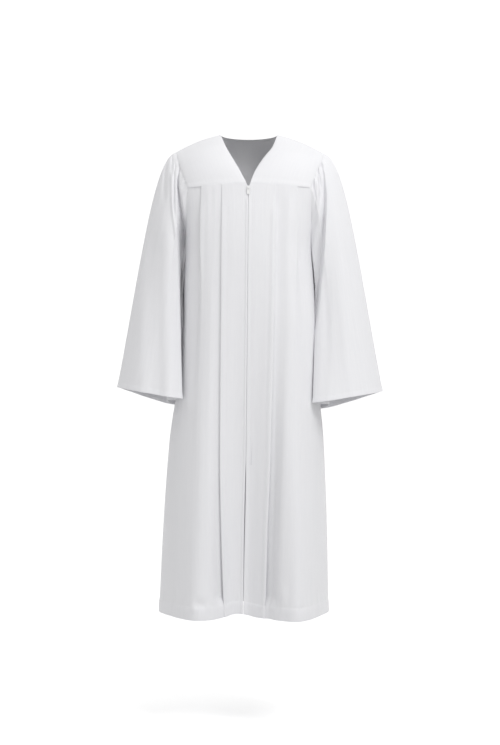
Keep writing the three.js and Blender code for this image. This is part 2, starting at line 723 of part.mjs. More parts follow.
function yokeBack() {
  const bottom = (t) => backPoint(mix(-CORNER_SHARE, CORNER_SHARE, t), YOKE_SIDE, 0);
  const grid = steps(YOKE_STEPS).map((v) =>
    YOKE_BACK_COLUMNS.map((u) => {
      const left = (t) => yokeArmhole("right", "back", t);
      const right = (t) => yokeArmhole("left", "back", t);
      const p = patch(backTopEdge, bottom, left, right, u, v);
      const rise = Math.sin(Math.PI * v) ** BULGE_DOWN;
      p.addScaledVector(BACK_BULGE, rise * Math.sin(Math.PI * u) ** BULGE_ACROSS);
      p.addScaledVector(SPINE_BULGE, rise * Math.exp(-(((u - 0.5) / SPINE_WIDTH) ** 2)));
      p.y += (SEAM / 2) * (1 - v);
      return p;
    }),
  );
  const inside = (p) => underYoke(p, -INSIDE.depth);
  return wallInside("yoke_back", grid, false, inside, robeCloth(), () => 0, true);
}

// --- Sleeves ----------------------------------------------------------------------------------------

const RING_BREAKS = [0.27, 0.5, 0.73]; // front corner, shoulder point, back corner
const SLEEVE_ROWS = [0, 0.05, 0.11, 0.18, 0.26, 0.35, 0.45, 0.56, 0.67, 0.78, 0.89, 0.985, 1];

// Armhole that the sleeve is sewn into, at a place of its ring.
function armhole(side, t) {
  const [corner, top, behind] = RING_BREAKS;
  if (t < corner) return frontArmhole(side, 1 - t / corner);
  if (t < top) return yokeArmhole(side, "front", 1 - (t - corner) / (top - corner));
  if (t < behind) return yokeArmhole(side, "back", (t - top) / (behind - top));
  return backArmhole(side, (t - behind) / (1 - behind));
}

function sleevePoint(side, t, share) {
  const { sign, inner, reach, drop } = SIDE_OF[side];
  const [, out, y, z, startOut, startY, startZ, leanOut, leanY] = rowAt(SLEEVE, t);
  const start = armhole(side, t);
  start.x += sign * ARMHOLE_CLEAR;
  const wide = mix(inner, reach, (out - INNER_OUT) / (OUTER_OUT - INNER_OUT));
  const cuff = new THREE.Vector3(sign * (out + wide), y, z - drop);
  const leave = new THREE.Vector3(sign * startOut, startY, startZ).add(start);
  const hang = (start.z - cuff.z) * LEAN_SHARE;
  const above = new THREE.Vector3(sign * leanOut, leanY, 1).multiplyScalar(hang).add(cuff);
  return new THREE.CubicBezierCurve3(start, leave, above, cuff).getPoint(share);
}

const ABOVE_RING = 0.04; // share of the sleeve above the armhole where a gather would begin
function sleeveFold(t, share) {
  return SLEEVE_FOLDS.reduce((sum, [place, half, depth, deepest, length]) => {
    const reach = share < deepest ? deepest + ABOVE_RING : length;
    return sum + depth * bump((t - place) / half) * bump((share - deepest) / reach);
  }, 0);
}

// Columns of a sleeve: those of the front's armhole edge, the gathered cap, those of the back's armhole edge.
const CAP_COLUMNS = [
  ...[0.285, 0.3, 0.321, 0.342, 0.362, 0.382, 0.401, 0.42, 0.439, 0.458, 0.48, 0.5],
  ...[0.52, 0.545, 0.565, 0.585, 0.605, 0.625, 0.645, 0.665, 0.685, 0.705, 0.73],
];
const SLEEVE_RING = [
  ...ARMHOLE_SHARES.map((share) => RING_BREAKS[0] * (1 - share)).reverse(),
  ...CAP_COLUMNS,
  ...BACK_ARM_SHARES.slice(0, -1).map((share) => mix(RING_BREAKS[2], 1, share)),
];

// How far the fold that hangs at the sleeve's front takes a point back in y. It leaves cloth that faces
// sideways alone, and works fully where the cloth faces more than half forward.
const FULLY_FORWARD = 0.5;
function foldBack(side, p, normal) {
  const [, edge, depth, reach] = rowAt(FOLD_EDGE[side], p.z);
  const past = Math.abs(p.x) - edge;
  const facing = clamp(-normal.y / FULLY_FORWARD, 0, 1);
  const roll = FOLD_ROLL * Math.exp(-Math.max(past, 0) / ROLL_REACH);
  const hollow = Math.exp(-((Math.min(past, 0) / reach) ** 2));
  return facing * depth * mix(hollow, -roll, softStep(past / FOLD_STEP + 0.5));
}

// How far cloth inside that fold goes back so that it lies on the floor. Root and square make the step soft.
function foldFloor(side, p) {
  const [, near, deep] = rowAt(FOLD_FLOOR[side], p.z);
  const past = rowAt(FOLD_EDGE[side], p.z)[1] - Math.abs(p.x);
  const over = mix(deep, near, softStep(past / FLOOR_REACH)) - p.y;
  return 0.5 * (over + Math.hypot(over, FLOOR_SOFT)) * softStep(past / FOLD_STEP + 0.5);
}

function sleeve(side) {
  const plain = SLEEVE_ROWS.map((share) => SLEEVE_RING.map((t) => sleevePoint(side, t, share)));
  const inside = (p) => ringMiddle(side, p.z);
  const normals = gridNormals(plain, true, inside);
  const folded = plain.map((row, r) =>
    row.map((p, c) => {
      const gathered = p.clone().addScaledVector(normals[r][c], sleeveFold(SLEEVE_RING[c], SLEEVE_ROWS[r]));
      if (r > 0) gathered.y += foldBack(side, p, normals[r][c]);
      if (r > 0) gathered.y += foldFloor(side, gathered);
      return gathered;
    }),
  );
  const hem = (r) => (r >= SLEEVE_ROWS.length - 2 ? TURNED_HEM : 0);
  return wallInside(`sleeve_${side}`, folded, true, inside, robeCloth(), hem);
}

// A point inside the sleeve at a height, well away from its walls.
const MIDDLE = { topZ: -120, footZ: -640, topOut: 192, footOut: 250, highest: -140 };
function ringMiddle(side, z) {
  const down = clamp((z - MIDDLE.topZ) / (MIDDLE.footZ - MIDDLE.topZ), 0, 1);
  const out = mix(MIDDLE.topOut, MIDDLE.footOut, down);
  return new THREE.Vector3(signOf(side) * out, 0, Math.min(z, MIDDLE.highest));
}

// --- Zip --------------------------------------------------------------------------------------------

function zipTape() {
  const across = [-1, -0.5, 0, 0.5, 1];
  const heights = BODY_ROWS.map((share) => mix(YOKE_CENTRE - SEAM, HEM, share)).filter((z) => z > ZIP_END + TAPE_DROP);
  heights[0] -= TAPE_DROP;
  const grids = [0, 1].map((inner) =>
    [...heights, ZIP_END].map((z) => {
      const middle = lengthAtX(z, "front", closureAt(z)[1]);
      const d = -CLOTH / 2 - SEAM - inner * TAPE;
      return across.map((t) => bodyPoint(z, "front", middle + t * TAPE_HALF, d));
    }),
  );
  return closeWall("zip_tape", grids[0], grids[1], false, tapeCloth());
}

const solidOf = (geometry) => {
  const loose = geometry.index ? geometry.toNonIndexed() : geometry;
  const bare = new THREE.BufferGeometry().setAttribute("position", loose.attributes.position);
  const merged = mergeVertices(bare, 1e-4);
  const triVerts = new Uint32Array(merged.index.array);
  const mesh = { numProp: 3, vertProperties: merged.attributes.position.array, triVerts };
  return new wasm.Manifold(new wasm.Mesh(mesh));
};

function meshOf(name, solid, material) {
  const { vertProperties, triVerts } = solid.getMesh();
  const geometry = new THREE.BufferGeometry();
  geometry.setAttribute("position", new THREE.BufferAttribute(vertProperties, 3));
  geometry.setIndex(new THREE.BufferAttribute(triVerts, 1));
  geometry.computeVertexNormals();
  const mesh = new THREE.Mesh(geometry, material);
  mesh.name = name;
  return mesh;
}

function roundedShape(left, right, low, high, corner) {
  const shape = new THREE.Shape();
  shape.moveTo(left + corner, low);
  shape.lineTo(right - corner, low);
  shape.absarc(right - corner, low + corner, corner, -Math.PI / 2, 0);
  shape.lineTo(right, high - corner);
  shape.absarc(right - corner, high - corner, corner, 0, Math.PI / 2);
  shape.lineTo(left + corner, high);
  shape.absarc(left + corner, high - corner, corner, Math.PI / 2, Math.PI);
  shape.lineTo(left, low + corner);
  shape.absarc(left + corner, low + corner, corner, Math.PI, 1.5 * Math.PI);
  return shape;
}

function box(left, right, front, rear, low, high) {
  const geometry = new THREE.BoxGeometry(right - left, rear - front, high - low);
  return geometry.translate((left + right) / 2, (front + rear) / 2, (low + high) / 2);
}

// Extrusion of a shape drawn in x and z, from y = front to y = front + thick.
function standing(shape, front, thick) {
  const geometry = new THREE.ExtrudeGeometry(shape, { depth: thick, bevelEnabled: false, curveSegments: 5 });
  return geometry.rotateX(Math.PI / 2).translate(0, front + thick, 0);
}

const sliderX = closureAt(SLIDER_Z)[1];
const sliderFace = bodyPoint(SLIDER_Z, "front", lengthAtX(SLIDER_Z, "front", sliderX), 0).y;
const plateFront = sliderFace - PLATE.back - PLATE.thick;
const hingeY = plateFront - BAIL.window - BAIL.clear;

function zipSlider() {
  const plate = roundedShape(-PLATE.half, PLATE.half, -PLATE.halfHeight, PLATE.halfHeight, PLATE.corner);
  const neckHalf = NECK_OF_SLIDER.half;
  const neckHigh = NECK_OF_SLIDER.halfHeight;
  const bailFront = hingeY - BAIL.window - BAIL.thick;
  const reach = BAIL.window + BAIL.leg;
  const neckRear = sliderFace + CLOTH / 2 - NECK_OF_SLIDER.short;
  const bail = box(-BAIL.half, BAIL.half, bailFront, plateFront + ROOT, -reach, reach);
  const window = box(-PLATE.half, PLATE.half, hingeY - BAIL.window, plateFront, -BAIL.window, BAIL.window);
  const solid = solidOf(standing(plate, plateFront, PLATE.thick))
    .add(solidOf(box(-neckHalf, neckHalf, plateFront + ROOT, neckRear, -neckHigh, neckHigh)))
    .add(solidOf(bail))
    .subtract(solidOf(window));
  const mesh = meshOf("zip_slider", solid, enamel());
  mesh.position.set(sliderX, 0, SLIDER_Z);
  return mesh;
}

function zipPullTab() {
  const half = TAB.half;
  const top = TAB.bar / 2;
  const shape = roundedShape(-half, half, -TAB.length, top, TAB.corner);
  const eye = new THREE.Path();
  eye.moveTo(-TAB.eyeHalf, -top);
  eye.lineTo(-TAB.eyeHalf, -TAB.eye);
  eye.lineTo(TAB.eyeHalf, -TAB.eye);
  eye.lineTo(TAB.eyeHalf, -top);
  eye.closePath();
  shape.holes.push(eye);
  const solid = solidOf(standing(shape, -TAB.thick / 2, TAB.thick));
  const mesh = meshOf("zip_pull_tab", solid, enamel());
  mesh.position.set(sliderX, hingeY, SLIDER_Z);
  return mesh;
}

const robe = new THREE.Group();
for (const side of ["right", "left"]) {
  robe.add(front(side), yokeFront(side), sleeve(side));
}
robe.add(back(), yokeBack(), zipTape(), zipSlider(), zipPullTab());

export default robe;
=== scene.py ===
# %% [markdown]
# # A choir robe, as it hangs when it is worn
# The robe is a simple garment with a lot of cloth in it: two fronts with knife pleats, a fluted back, a yoke
# over the shoulders and two bell sleeves. Only the zip is hard. Each cloth piece here is a thin shell whose
# points come from a formula in numpy, so that every pleat and fold has a place that can be read and changed.
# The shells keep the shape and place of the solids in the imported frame, and replace them.

import bpy
import numpy as np
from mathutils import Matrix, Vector


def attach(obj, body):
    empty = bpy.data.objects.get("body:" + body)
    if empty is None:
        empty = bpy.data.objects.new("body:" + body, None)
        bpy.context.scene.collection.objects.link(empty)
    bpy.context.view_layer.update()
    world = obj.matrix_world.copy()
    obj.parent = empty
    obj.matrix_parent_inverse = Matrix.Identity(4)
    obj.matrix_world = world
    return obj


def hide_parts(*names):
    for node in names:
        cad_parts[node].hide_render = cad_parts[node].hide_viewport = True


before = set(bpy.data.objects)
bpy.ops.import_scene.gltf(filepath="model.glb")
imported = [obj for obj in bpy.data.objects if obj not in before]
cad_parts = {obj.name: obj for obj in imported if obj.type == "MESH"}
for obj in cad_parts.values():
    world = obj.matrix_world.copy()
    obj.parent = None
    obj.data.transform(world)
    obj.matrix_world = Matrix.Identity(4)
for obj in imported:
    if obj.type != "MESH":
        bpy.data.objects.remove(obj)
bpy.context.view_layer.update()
MM = 0.001  # Blender works in metres, and the sizes below are millimetres

# %% [markdown]
# ## The camera
# A long lens from far off shows a tall narrow thing without stretching it. The camera is level, 4.5 m away
# and at mid height, which keeps the robe's vertical lines upright.

# %% Place the camera
CAMERA_BACK = 4500  # distance from the plane between front and back
CAMERA_X = 2.5
CAMERA_Z = -594
FOCAL_LENGTH = 87.0
SENSOR = 36.0  # along the picture's long side
CAMERA_FAR = 60  # metres to the furthest point that is drawn

camera_data = bpy.data.cameras.new("camera")
camera_data.lens = FOCAL_LENGTH
camera_data.sensor_width = SENSOR
camera_data.clip_end = CAMERA_FAR
camera = bpy.data.objects.new("camera", camera_data)
camera.location = (CAMERA_X * MM, -CAMERA_BACK * MM, CAMERA_Z * MM)
camera.rotation_euler = (np.pi / 2, 0, 0)
bpy.context.scene.collection.objects.link(camera)
bpy.context.scene.camera = camera
print("camera at", tuple(round(v, 3) for v in camera.location))

# %% [markdown]
# ## Sizes
# The same driving sizes and tables as the solids have. Heights are negative, because the robe hangs down from
# its origin between the neck ends of the shoulder seams. The wearer's left is +X and the front is -Y.

# %% Sizes and tables
CLOTH = 0.7  # thickness of the cloth shells
LAP = 1.4  # what a second layer of cloth adds on the outside of a hem
TURNED = 0.7  # and on its inside
SEAM = 0.3  # between pieces that are sewn together
HEM_DEPTH = 32
CUFF_HEM_DEPTH = 8
YOKE_CENTRE = -131
YOKE_SIDE = -138
UNDERARM = -282
ZIP_END = -819
HEM = -1190

# height, half width, front depth, back depth, centre x, front and back squareness, dip of the closure
BODY = [
    [-120, 190, 102, 98, 0, 2.5, 2.5, 0],
    [-165, 176, 107, 111, 0, 2.5, 2.5, 0],
    [-205, 164, 113, 117, 0, 2.5, 2.5, 1],
    [-285, 157, 122, 122, -1, 2.4, 2.4, 3],
    [-350, 161, 127, 125, 0, 2.4, 2.4, 6],
    [-450, 167, 134, 131, 3, 2.4, 2.4, 11],
    [-540, 171, 140, 136, 1, 2.3, 2.35, 16],
    [-640, 178, 148, 142, -2.5, 2.15, 2.3, 24],
    [-763, 192, 158, 150, -6, 1.95, 2.2, 36],
    [-1000, 205, 180, 174, -10, 1.75, 2.1, 62],
    [-1190, 211, 198, 192, -13, 1.6, 2.05, 83],
]
DIP_WIDTH = 70  # width of the bell-shaped dip where the closure falls

# height, x of the right front's lobe, how far it stands out, x of the left front's, how far it stands out
LOBES = [
    [-400, -124, 0, 122, 0],
    [-540, -128, 2, 123, 5],
    [-640, -130, 6, 124, 12],
    [-763, -132, 14, 125, 26],
    [-1000, -136, 28, 127, 50],
    [-1190, -138, 42, 127, 71],
]
LOBE_WIDTH = {"right": 50, "left": 54}  # and of the bell-shaped lobes beside it

# height, x of the closure, half the gap between its edges
CLOSURE = [
    [-120, -1.4, 7.0],
    [-131, -1.4, 4.4],
    [-138, -1.5, 2.2],
    [-152, -1.6, 1.5],
    [-175, -1.8, 0.5],
    [-419, -3.8, 0.5],
    [-800, -7.5, 0.5],
    [-860, -8.5, 1.2],
    [-960, -10.6, 1.5],
    [-1090, -13.0, 1.1],
    [-1190, -14.3, 0.8],
]

# height, distance of the fold from x = 0, under-fold, curl radius, overlap (1 folded flat, 0 a soft step)
PLEATS = {
    "right": [
        [
            [-120, 66, 25, 0.42, 1.0],
            [-200, 66.5, 24, 0.8, 1.0],
            [-419, 68, 20, 1.1, 1.0],
            [-800, 70.5, 15, 1.5, 1.0],
            [-1000, 66, 12, 1.9, 1.0],
            [-1135, 60.6, 10.6, 2.2, 1.0],
            [-1160, 59.4, 10.3, 0.55, 1.0],
            [-1190, 58, 10, 0.55, 1.0],
        ],
        [
            [-120, 117, 22, 0.42, 1.0],
            [-190, 118.5, 17, 1.0, 1.0],
            [-260, 120, 14, 1.2, 0.9],
            [-419, 122, 8, 1.6, 0.35],
            [-800, 132, 6, 0.8, 0.0],
            [-1190, 138, 6, 0.5, 0.0],
        ],
    ],
    "left": [
        [
            [-120, 66, 25, 0.42, 1.0],
            [-200, 64.5, 24, 0.8, 1.0],
            [-419, 61, 20, 1.1, 1.0],
            [-800, 51, 15, 1.5, 1.0],
            [-1000, 42.6, 12, 1.9, 1.0],
            [-1135, 38.4, 10.6, 2.2, 1.0],
            [-1160, 37.5, 10.3, 0.55, 1.0],
            [-1190, 36.5, 10, 0.55, 1.0],
        ],
        [
            [-120, 120, 22, 0.42, 1.0],
            [-190, 120.5, 16, 0.7, 0.9],
            [-260, 121, 12, 1.2, 0.8],
            [-419, 122, 8, 1.6, 0.25],
            [-800, 124, 6, 0.8, 0.0],
            [-1190, 127, 6, 0.5, 0.0],
        ],
    ],
}
SOFT_STEP = 34  # width of the step that a pleat becomes where its overlap is 0

# place from -1 to 1 along the back, half width, depth at the yoke, depth at the hem
FLUTES = [
    [-0.83, 0.1, 0.0, 9],
    [-0.64, 0.1, 3.6, 15],
    [-0.46, 0.09, 3.0, 19],
    [-0.29, 0.095, 4.0, 16],
    [-0.12, 0.085, 3.4, 20],
    [0.05, 0.095, 4.2, 17],
    [0.22, 0.085, 3.2, 21],
    [0.4, 0.095, 4.0, 16],
    [0.57, 0.09, 3.4, 18],
    [0.74, 0.09, 1.5, 13],
    [0.89, 0.07, 0.0, 7],
]

NECK_HALF = 71  # from the middle to the neck end of a shoulder seam
NAPE_DEPTH = 57
NAPE_DROP = 5
SHOULDER_RISE = 5
SHOULDER = {"right": (-181, 3, -42.5), "left": (186, 3, -46)}  # sleeve ends of the shoulder seams
ARM_FRONT = (172, -50, -90)  # points that the yoke's armhole edges lean towards, on the left side
ARM_BACK = (160, 60, -90)
FRONT_BULGE = (0, -9, 7)  # how far the middle of a front yoke stands out from between its edges
BACK_BULGE = (0, 34, 14)  # the same for the back yoke, and how much less it does along the spine
SPINE_BULGE = (0, -20, -6)
SPINE_WIDTH = 0.17
CORNER_SHARE = 0.645  # place of the armhole's corner along the yoke seam, from the middle to the side
ARMHOLE_ROUND = 2.3  # power of the armhole's curve from that corner to the underarm
NECK_SHARE = 0.28  # share of the back yoke's top edge that each shoulder seam takes up

# share of the way from shoulder to closure, distance from the middle, y, z
NECK_EDGE = {
    "right": [
        [0.0, NECK_HALF, 0, 0],
        [0.28, 57, -40, -35],
        [0.5, 42, -63, -63],
        [0.75, 24.5, -83, -94.5],
        [1.0, 5.8, -99.5, YOKE_CENTRE],
    ],
    "left": [
        [0.0, NECK_HALF, 0, 0],
        [0.2, 62, -26, -26],
        [0.32, 55, -41, -40],
        [0.48, 41, -56, -58],
        [0.65, 26, -71, -80],
        [0.82, 13, -86, -104],
        [1.0, 3.0, -99.5, YOKE_CENTRE],
    ],
}

# ring place, cuff out, cuff y, cuff z, start out, start y, start z, lean out, lean y
SLEEVE = [
    [0.0, 203, 8, -662, 2, 0, -46, -0.06, 0.0],
    [0.05, 197, -28, -662, 3, 0, -44, -0.05, 0.04],
    [0.11, 183, -64, -661, 6, 2, -40, -0.04, 0.14],
    [0.17, 160, -92, -658, 14, 4, -34, 0.04, 0.2],
    [0.23, 196, -112, -653, 26, 8, -24, -0.05, 0.24],
    [0.31, 243, -106, -645, 32, 4, -18, -0.12, 0.16],
    [0.4, 292, -70, -637, 40, -6, -12, -0.17, 0.05],
    [0.5, 329, 5, -631, 56, 0, -6, -0.19, 0.0],
    [0.6, 292, 80, -646, 40, 16, -12, -0.17, 0.0],
    [0.69, 243, 118, -663, 30, 26, -18, -0.12, 0.0],
    [0.77, 200, 124, -675, 20, 26, -24, -0.06, -0.05],
    [0.83, 160, 104, -680, 4, 16, -34, 0.02, -0.08],
    [0.89, 182, 72, -676, 4, 8, -40, -0.01, -0.03],
    [0.95, 200, 38, -669, 4, 2, -44, -0.05, 0.0],
    [1.0, 203, 8, -662, 4, 0, -46, -0.05, 0.0],
]
LEAN_SHARE = 0.55  # how high above the cuff a line starts to hang straight, as a share of the sleeve's height
TUCK = 1.3  # how far the sleeve's edge is turned in under the yoke and the body
TUCK_AIM = (110, 0, -190)  # the point inside the left armhole that it is turned in towards
RING_BREAKS = (0.27, 0.5, 0.73)  # ring places of the front corner, the shoulder and the back corner
# what each side's cuff has more than the table says: outwards at its inner and outer edge, and downwards
SIDE_OF = {
    "right": {"sign": -1, "inner": 3, "reach": 0, "drop": 0},
    "left": {"sign": 1, "inner": -4, "reach": 5, "drop": 10},
}
INNER_OUT = 160  # where the cuff's inner and outer edges lie in the table
OUTER_OUT = 329

# ring place, half width, depth, where along the sleeve it is deepest, half length
SLEEVE_FOLDS = [
    [0.3, 0.02, -3.6, 0.08, 0.22],
    [0.342, 0.018, -4.0, 0.09, 0.26],
    [0.382, 0.018, -3.4, 0.08, 0.2],
    [0.42, 0.018, -3.8, 0.08, 0.24],
    [0.458, 0.016, -3.0, 0.07, 0.18],
    [0.545, 0.018, -3.0, 0.07, 0.18],
    [0.585, 0.018, -3.8, 0.08, 0.24],
    [0.625, 0.018, -3.4, 0.08, 0.22],
    [0.665, 0.02, -4.0, 0.09, 0.26],
    [0.705, 0.02, -3.4, 0.08, 0.2],
    [0.6, 0.05, -8, 0.75, 0.5],
    [0.7, 0.045, 7, 0.7, 0.45],
    [0.76, 0.035, -9, 0.55, 0.5],
]

# The fold that hangs straight down at the front of each sleeve: height, distance from the middle, depth, and
# how far inside its edge the cloth has come forward again
FOLD_EDGE = {
    "right": [
        [-60, 176, 0, 8],
        [-92, 177, 2, 8],
        [-122, 178, 3, 8],
        [-171, 177.5, 6, 10],
        [-208, 175, 14, 14],
        [-245, 174, 30, 26],
        [-290, 173, 42, 60],
        [-392, 170, 42, 60],
        [-465, 168, 26, 60],
        [-560, 166, 0, 60],
    ],
    "left": [
        [-45, 178, 0, 12],
        [-66, 179, 4, 12],
        [-81, 183, 6, 12],
        [-110, 187, 9, 12],
        [-134, 188.5, 11, 12],
        [-159, 190, 13, 12],
        [-208, 188, 16, 12],
        [-245, 186, 20, 14],
        [-282, 184, 24, 16],
        [-392, 174, 24, 20],
        [-453, 168, 12, 26],
        [-539, 158, 0, 26],
    ],
}
# Inside that edge no cloth stands further forward than this: height, y near the armhole, y at the fold
FOLD_FLOOR = {
    "right": [
        [-122, -130, -130],
        [-150, -78, -78],
        [-171, -72, -68],
        [-208, -66, -58],
        [-245, -56, -44],
        [-290, -50, -38],
        [-392, -60, -50],
        [-465, -90, -85],
        [-540, -130, -130],
    ],
    "left": [
        [-122, -130, -130],
        [-150, -76, -70],
        [-171, -72, -62],
        [-208, -71, -57],
        [-245, -69, -53],
        [-290, -66, -50],
        [-340, -68, -52],
        [-392, -76, -62],
        [-465, -95, -88],
        [-540, -130, -130],
    ],
}
# Below the armhole's corner the sleeve lies further in, over the body's side seam: distance, ring place and
# half width, height and half height
COVER = {"in": 4, "place": 0.14, "half": 0.09, "z": -285, "up": 90}
FLOOR_REACH = 28  # distance from the fold over which the cloth comes forward again
FLOOR_SOFT = 6  # how softly the cloth turns onto the floor
FOLD_STEP = 6  # width of the step from the outer lobe back to the cloth inside it
FOLD_ROLL = 0.2  # how far the edge stands forward, as a share of the depth
ROLL_REACH = 14  # and the distance outwards over which that fades
print("robe length from neck to hem:", -HEM, "mm")

# %% [markdown]
# ## Helpers for curves and tables
# A short table with a smooth curve through each of its columns describes most of the robe. The curve's slope
# at a row is the harmonic mean of the slopes on either side, so it never swings past the values given.


# %% Curves through tables
SHORTEST = 1e-12  # keeps a vector without length from being divided by nothing


def row_at(table, keys):
    """Smooth curve through every column of a table, at each key, with the key's own column left out.

    Between two rows it is the cubic that has their values and their slopes at its ends.
    """
    rows = np.array(sorted(table), float)
    x, v = rows[:, 0], rows[:, 1:]
    step = np.diff(v, axis=0) / np.diff(x)[:, None]
    product = step[:-1] * step[1:]
    total = step[:-1] + step[1:]
    inner = np.where(product > 0, 2 * product / np.where(total == 0, 1, total), 0)
    slope = np.vstack([step[:1], inner, step[-1:]])
    keys = np.clip(np.asarray(keys, float), x[0], x[-1])
    i = np.clip(np.searchsorted(x, keys, side="right") - 1, 0, len(x) - 2)
    span = (x[i + 1] - x[i])[..., None]
    t = (keys - x[i])[..., None] / span
    rest = 1 - t
    value = v[i] * rest * rest * (1 + 2 * t) + v[i + 1] * t * t * (3 - 2 * t)
    value = value + span * (slope[i] * t * rest * rest - slope[i + 1] * t * t * rest)
    return np.moveaxis(value, -1, 0)


def mix(a, b, t):
    """a at 0, b at 1, and the straight line between and beyond."""
    return a + (b - a) * t


def smooth(t):
    """0 below 0, 1 above 1, and a soft step between."""
    t = np.clip(t, 0, 1)
    return t * t * (3 - 2 * t)


def bump(t):
    """1 at 0, falling softly to 0 at -1 and 1."""
    return 0.5 * (1 + np.cos(np.pi * np.clip(t, -1, 1)))


def unit(v):
    """Each vector over its own length."""
    return v / np.maximum(np.linalg.norm(v, axis=-1, keepdims=True), SHORTEST)


def point(x, y, z):
    """Three arrays of any fitting shapes as one array of points."""
    return np.stack(np.broadcast_arrays(x, y, z), axis=-1).astype(float)


print("half width at the waist:", round(float(row_at(BODY, -400)[0]), 1), "mm")

# %% [markdown]
# ## Level sections of the body
# At each height the robe's plan is a squared ellipse, with a shallow dip where the closure falls between the
# cloth on either side. Cloth is cut by length, so each section is measured along its own edge: a place on it
# is a length from the middle line, and a height off it.

# %% Chart of the sections
CHART_TOP = -110.0
CHART_STEP = 3.0
CHART_ROWS = 364
CHART_PLACES = 321
CHART_INSIDE = 1.001  # keeps a place at the chart's end inside its last cell
TURNS = 721  # turns at which each section is worked out, from one side seam to the other
SWELL_FADE = 2  # the swell fades where the cosine of the turn is below 1 over this


def front_swell(z, x, dip):
    """How far the front stands out of its plain section: a bell for each lobe, less one at the closure."""
    right_x, right_out, left_x, left_out = (c[:, None] for c in row_at(LOBES, z))
    middle = row_at(CLOSURE, z)[0][:, None]
    lobes = right_out * np.exp(-(((x - right_x) / LOBE_WIDTH["right"]) ** 2))
    lobes = lobes + left_out * np.exp(-(((x - left_x) / LOBE_WIDTH["left"]) ** 2))
    return lobes - dip * np.exp(-(((x - middle) / DIP_WIDTH) ** 2))


def body_chart(face):
    """x, y and outward normal for every height (rows) and place from -1 to 1 (columns), and half lengths.

    The radius at a turn a from the front is (|sin a / half|^n + |cos a / depth|^n)^(-1/n).
    """
    z = CHART_TOP - CHART_STEP * np.arange(CHART_ROWS)
    half, front, back, centre, front_square, back_square, dip = (c[:, None] for c in row_at(BODY, z))
    is_front = face == "front"
    facing, depth, square = (-1, front, front_square) if is_front else (1, back, back_square)
    turn = np.linspace(-np.pi / 2, np.pi / 2, TURNS)[None]
    reach = (np.abs(np.sin(turn) / half) ** square + np.abs(np.cos(turn) / depth) ** square) ** (-1 / square)
    x = centre + reach * np.sin(turn)
    swell = front_swell(z, x, dip) * np.minimum(1, SWELL_FADE * np.cos(turn)) if is_front else 0
    y = facing * (reach * np.cos(turn) + swell)
    length = np.cumsum(np.hypot(np.diff(x, axis=1), np.diff(y, axis=1)), axis=1)
    length = np.hstack([np.zeros((len(z), 1)), length])
    length -= length[:, TURNS // 2, None]
    places = np.linspace(-1, 1, CHART_PLACES)
    wanted = np.where(places < 0, -places * length[:, :1], places * length[:, -1:])
    x = np.array([np.interp(w, s, v) for w, s, v in zip(wanted, length, x)])
    y = np.array([np.interp(w, s, v) for w, s, v in zip(wanted, length, y)])
    run = unit(np.stack([np.gradient(x, axis=1), np.gradient(y, axis=1)], axis=-1))
    run[:, [0, -1]] = [[0, facing], [0, -facing]]  # front and back meet face to face at the side seams
    normal = np.stack([-facing * run[..., 1], facing * run[..., 0]], axis=-1)
    ends = (-length[:, 0], length[:, -1])
    return {"x": x, "y": y, "nx": normal[..., 0], "ny": normal[..., 1], "ends": ends}


CHARTS = {face: body_chart(face) for face in ("front", "back")}


def chart_row(z):
    """Row of the chart at a height, with its fraction."""
    return np.clip((CHART_TOP - np.asarray(z, float)) / CHART_STEP, 0, CHART_ROWS - CHART_INSIDE)


def girth(face, z, sign):
    """Length of the section from its middle line to the side seam."""
    ends = CHARTS[face]["ends"][0 if sign < 0 else 1]
    return np.interp(chart_row(z), np.arange(CHART_ROWS), ends)


def on_body(face, z, s, d):
    """Point at height z, length s from the middle line and height d off the section."""
    chart = CHARTS[face]
    z, s, d = np.broadcast_arrays(z, s, d)
    row = chart_row(z)
    place = s / np.where(s < 0, girth(face, z, -1), girth(face, z, 1))
    column = np.clip((place + 1) / 2 * (CHART_PLACES - 1), 0, CHART_PLACES - CHART_INSIDE)
    r, c = row.astype(int), column.astype(int)
    fr, fc = row - r, column - c

    def read(name):
        grid = chart[name]
        upper = mix(grid[r, c], grid[r, c + 1], fc)
        return mix(upper, mix(grid[r + 1, c], grid[r + 1, c + 1], fc), fr)

    return point(read("x") + d * read("nx"), read("y") + d * read("ny"), z)


def length_at_x(face, z, x):
    """Length from the middle line at which a section reaches x."""
    chart = CHARTS[face]
    z, x = np.broadcast_arrays(np.asarray(z, float), np.asarray(x, float))
    row = np.rint(chart_row(z)).astype(int)
    places = np.linspace(-1, 1, CHART_PLACES)
    place = np.empty(x.shape)
    for r in np.unique(row):
        here = row == r
        place[here] = np.interp(x[here], chart["x"][r], places)
    return place * np.where(place < 0, girth(face, z, -1), girth(face, z, 1))


print("half girth of the front at the hem:", round(float(girth("front", HEM, 1))), "mm")

# %% [markdown]
# ## From a grid to a shell
# Every cloth piece is a grid of points, row by row from its top edge to its hem. Two such grids, a cloth's
# thickness apart and joined round their edges, make a closed shell. Its UV map holds real lengths along the
# cloth in metres, so that a weave keeps its scale whatever the folds do.


# %% Make a mesh object from arrays
SHARP_ANGLE = 58  # edges that turn more than this many degrees stay sharp


def add_object(name, points, faces, material, body="robe", uv=None):
    """Mesh of points in millimetres; uv holds one pair for each corner of each face."""
    mesh = bpy.data.meshes.new(name)
    mesh.from_pydata((np.asarray(points) * MM).tolist(), [], faces.tolist())
    if uv is not None:
        layer = mesh.uv_layers.new(name="cloth")
        layer.data.foreach_set("uv", np.ascontiguousarray(uv, dtype=np.float32).ravel())
    mesh.shade_smooth()
    mesh.set_sharp_from_angle(angle=np.radians(SHARP_ANGLE))
    mesh.materials.append(material)
    piece = bpy.data.objects.new(name, mesh)
    bpy.context.scene.collection.objects.link(piece)
    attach(piece, body)
    return piece


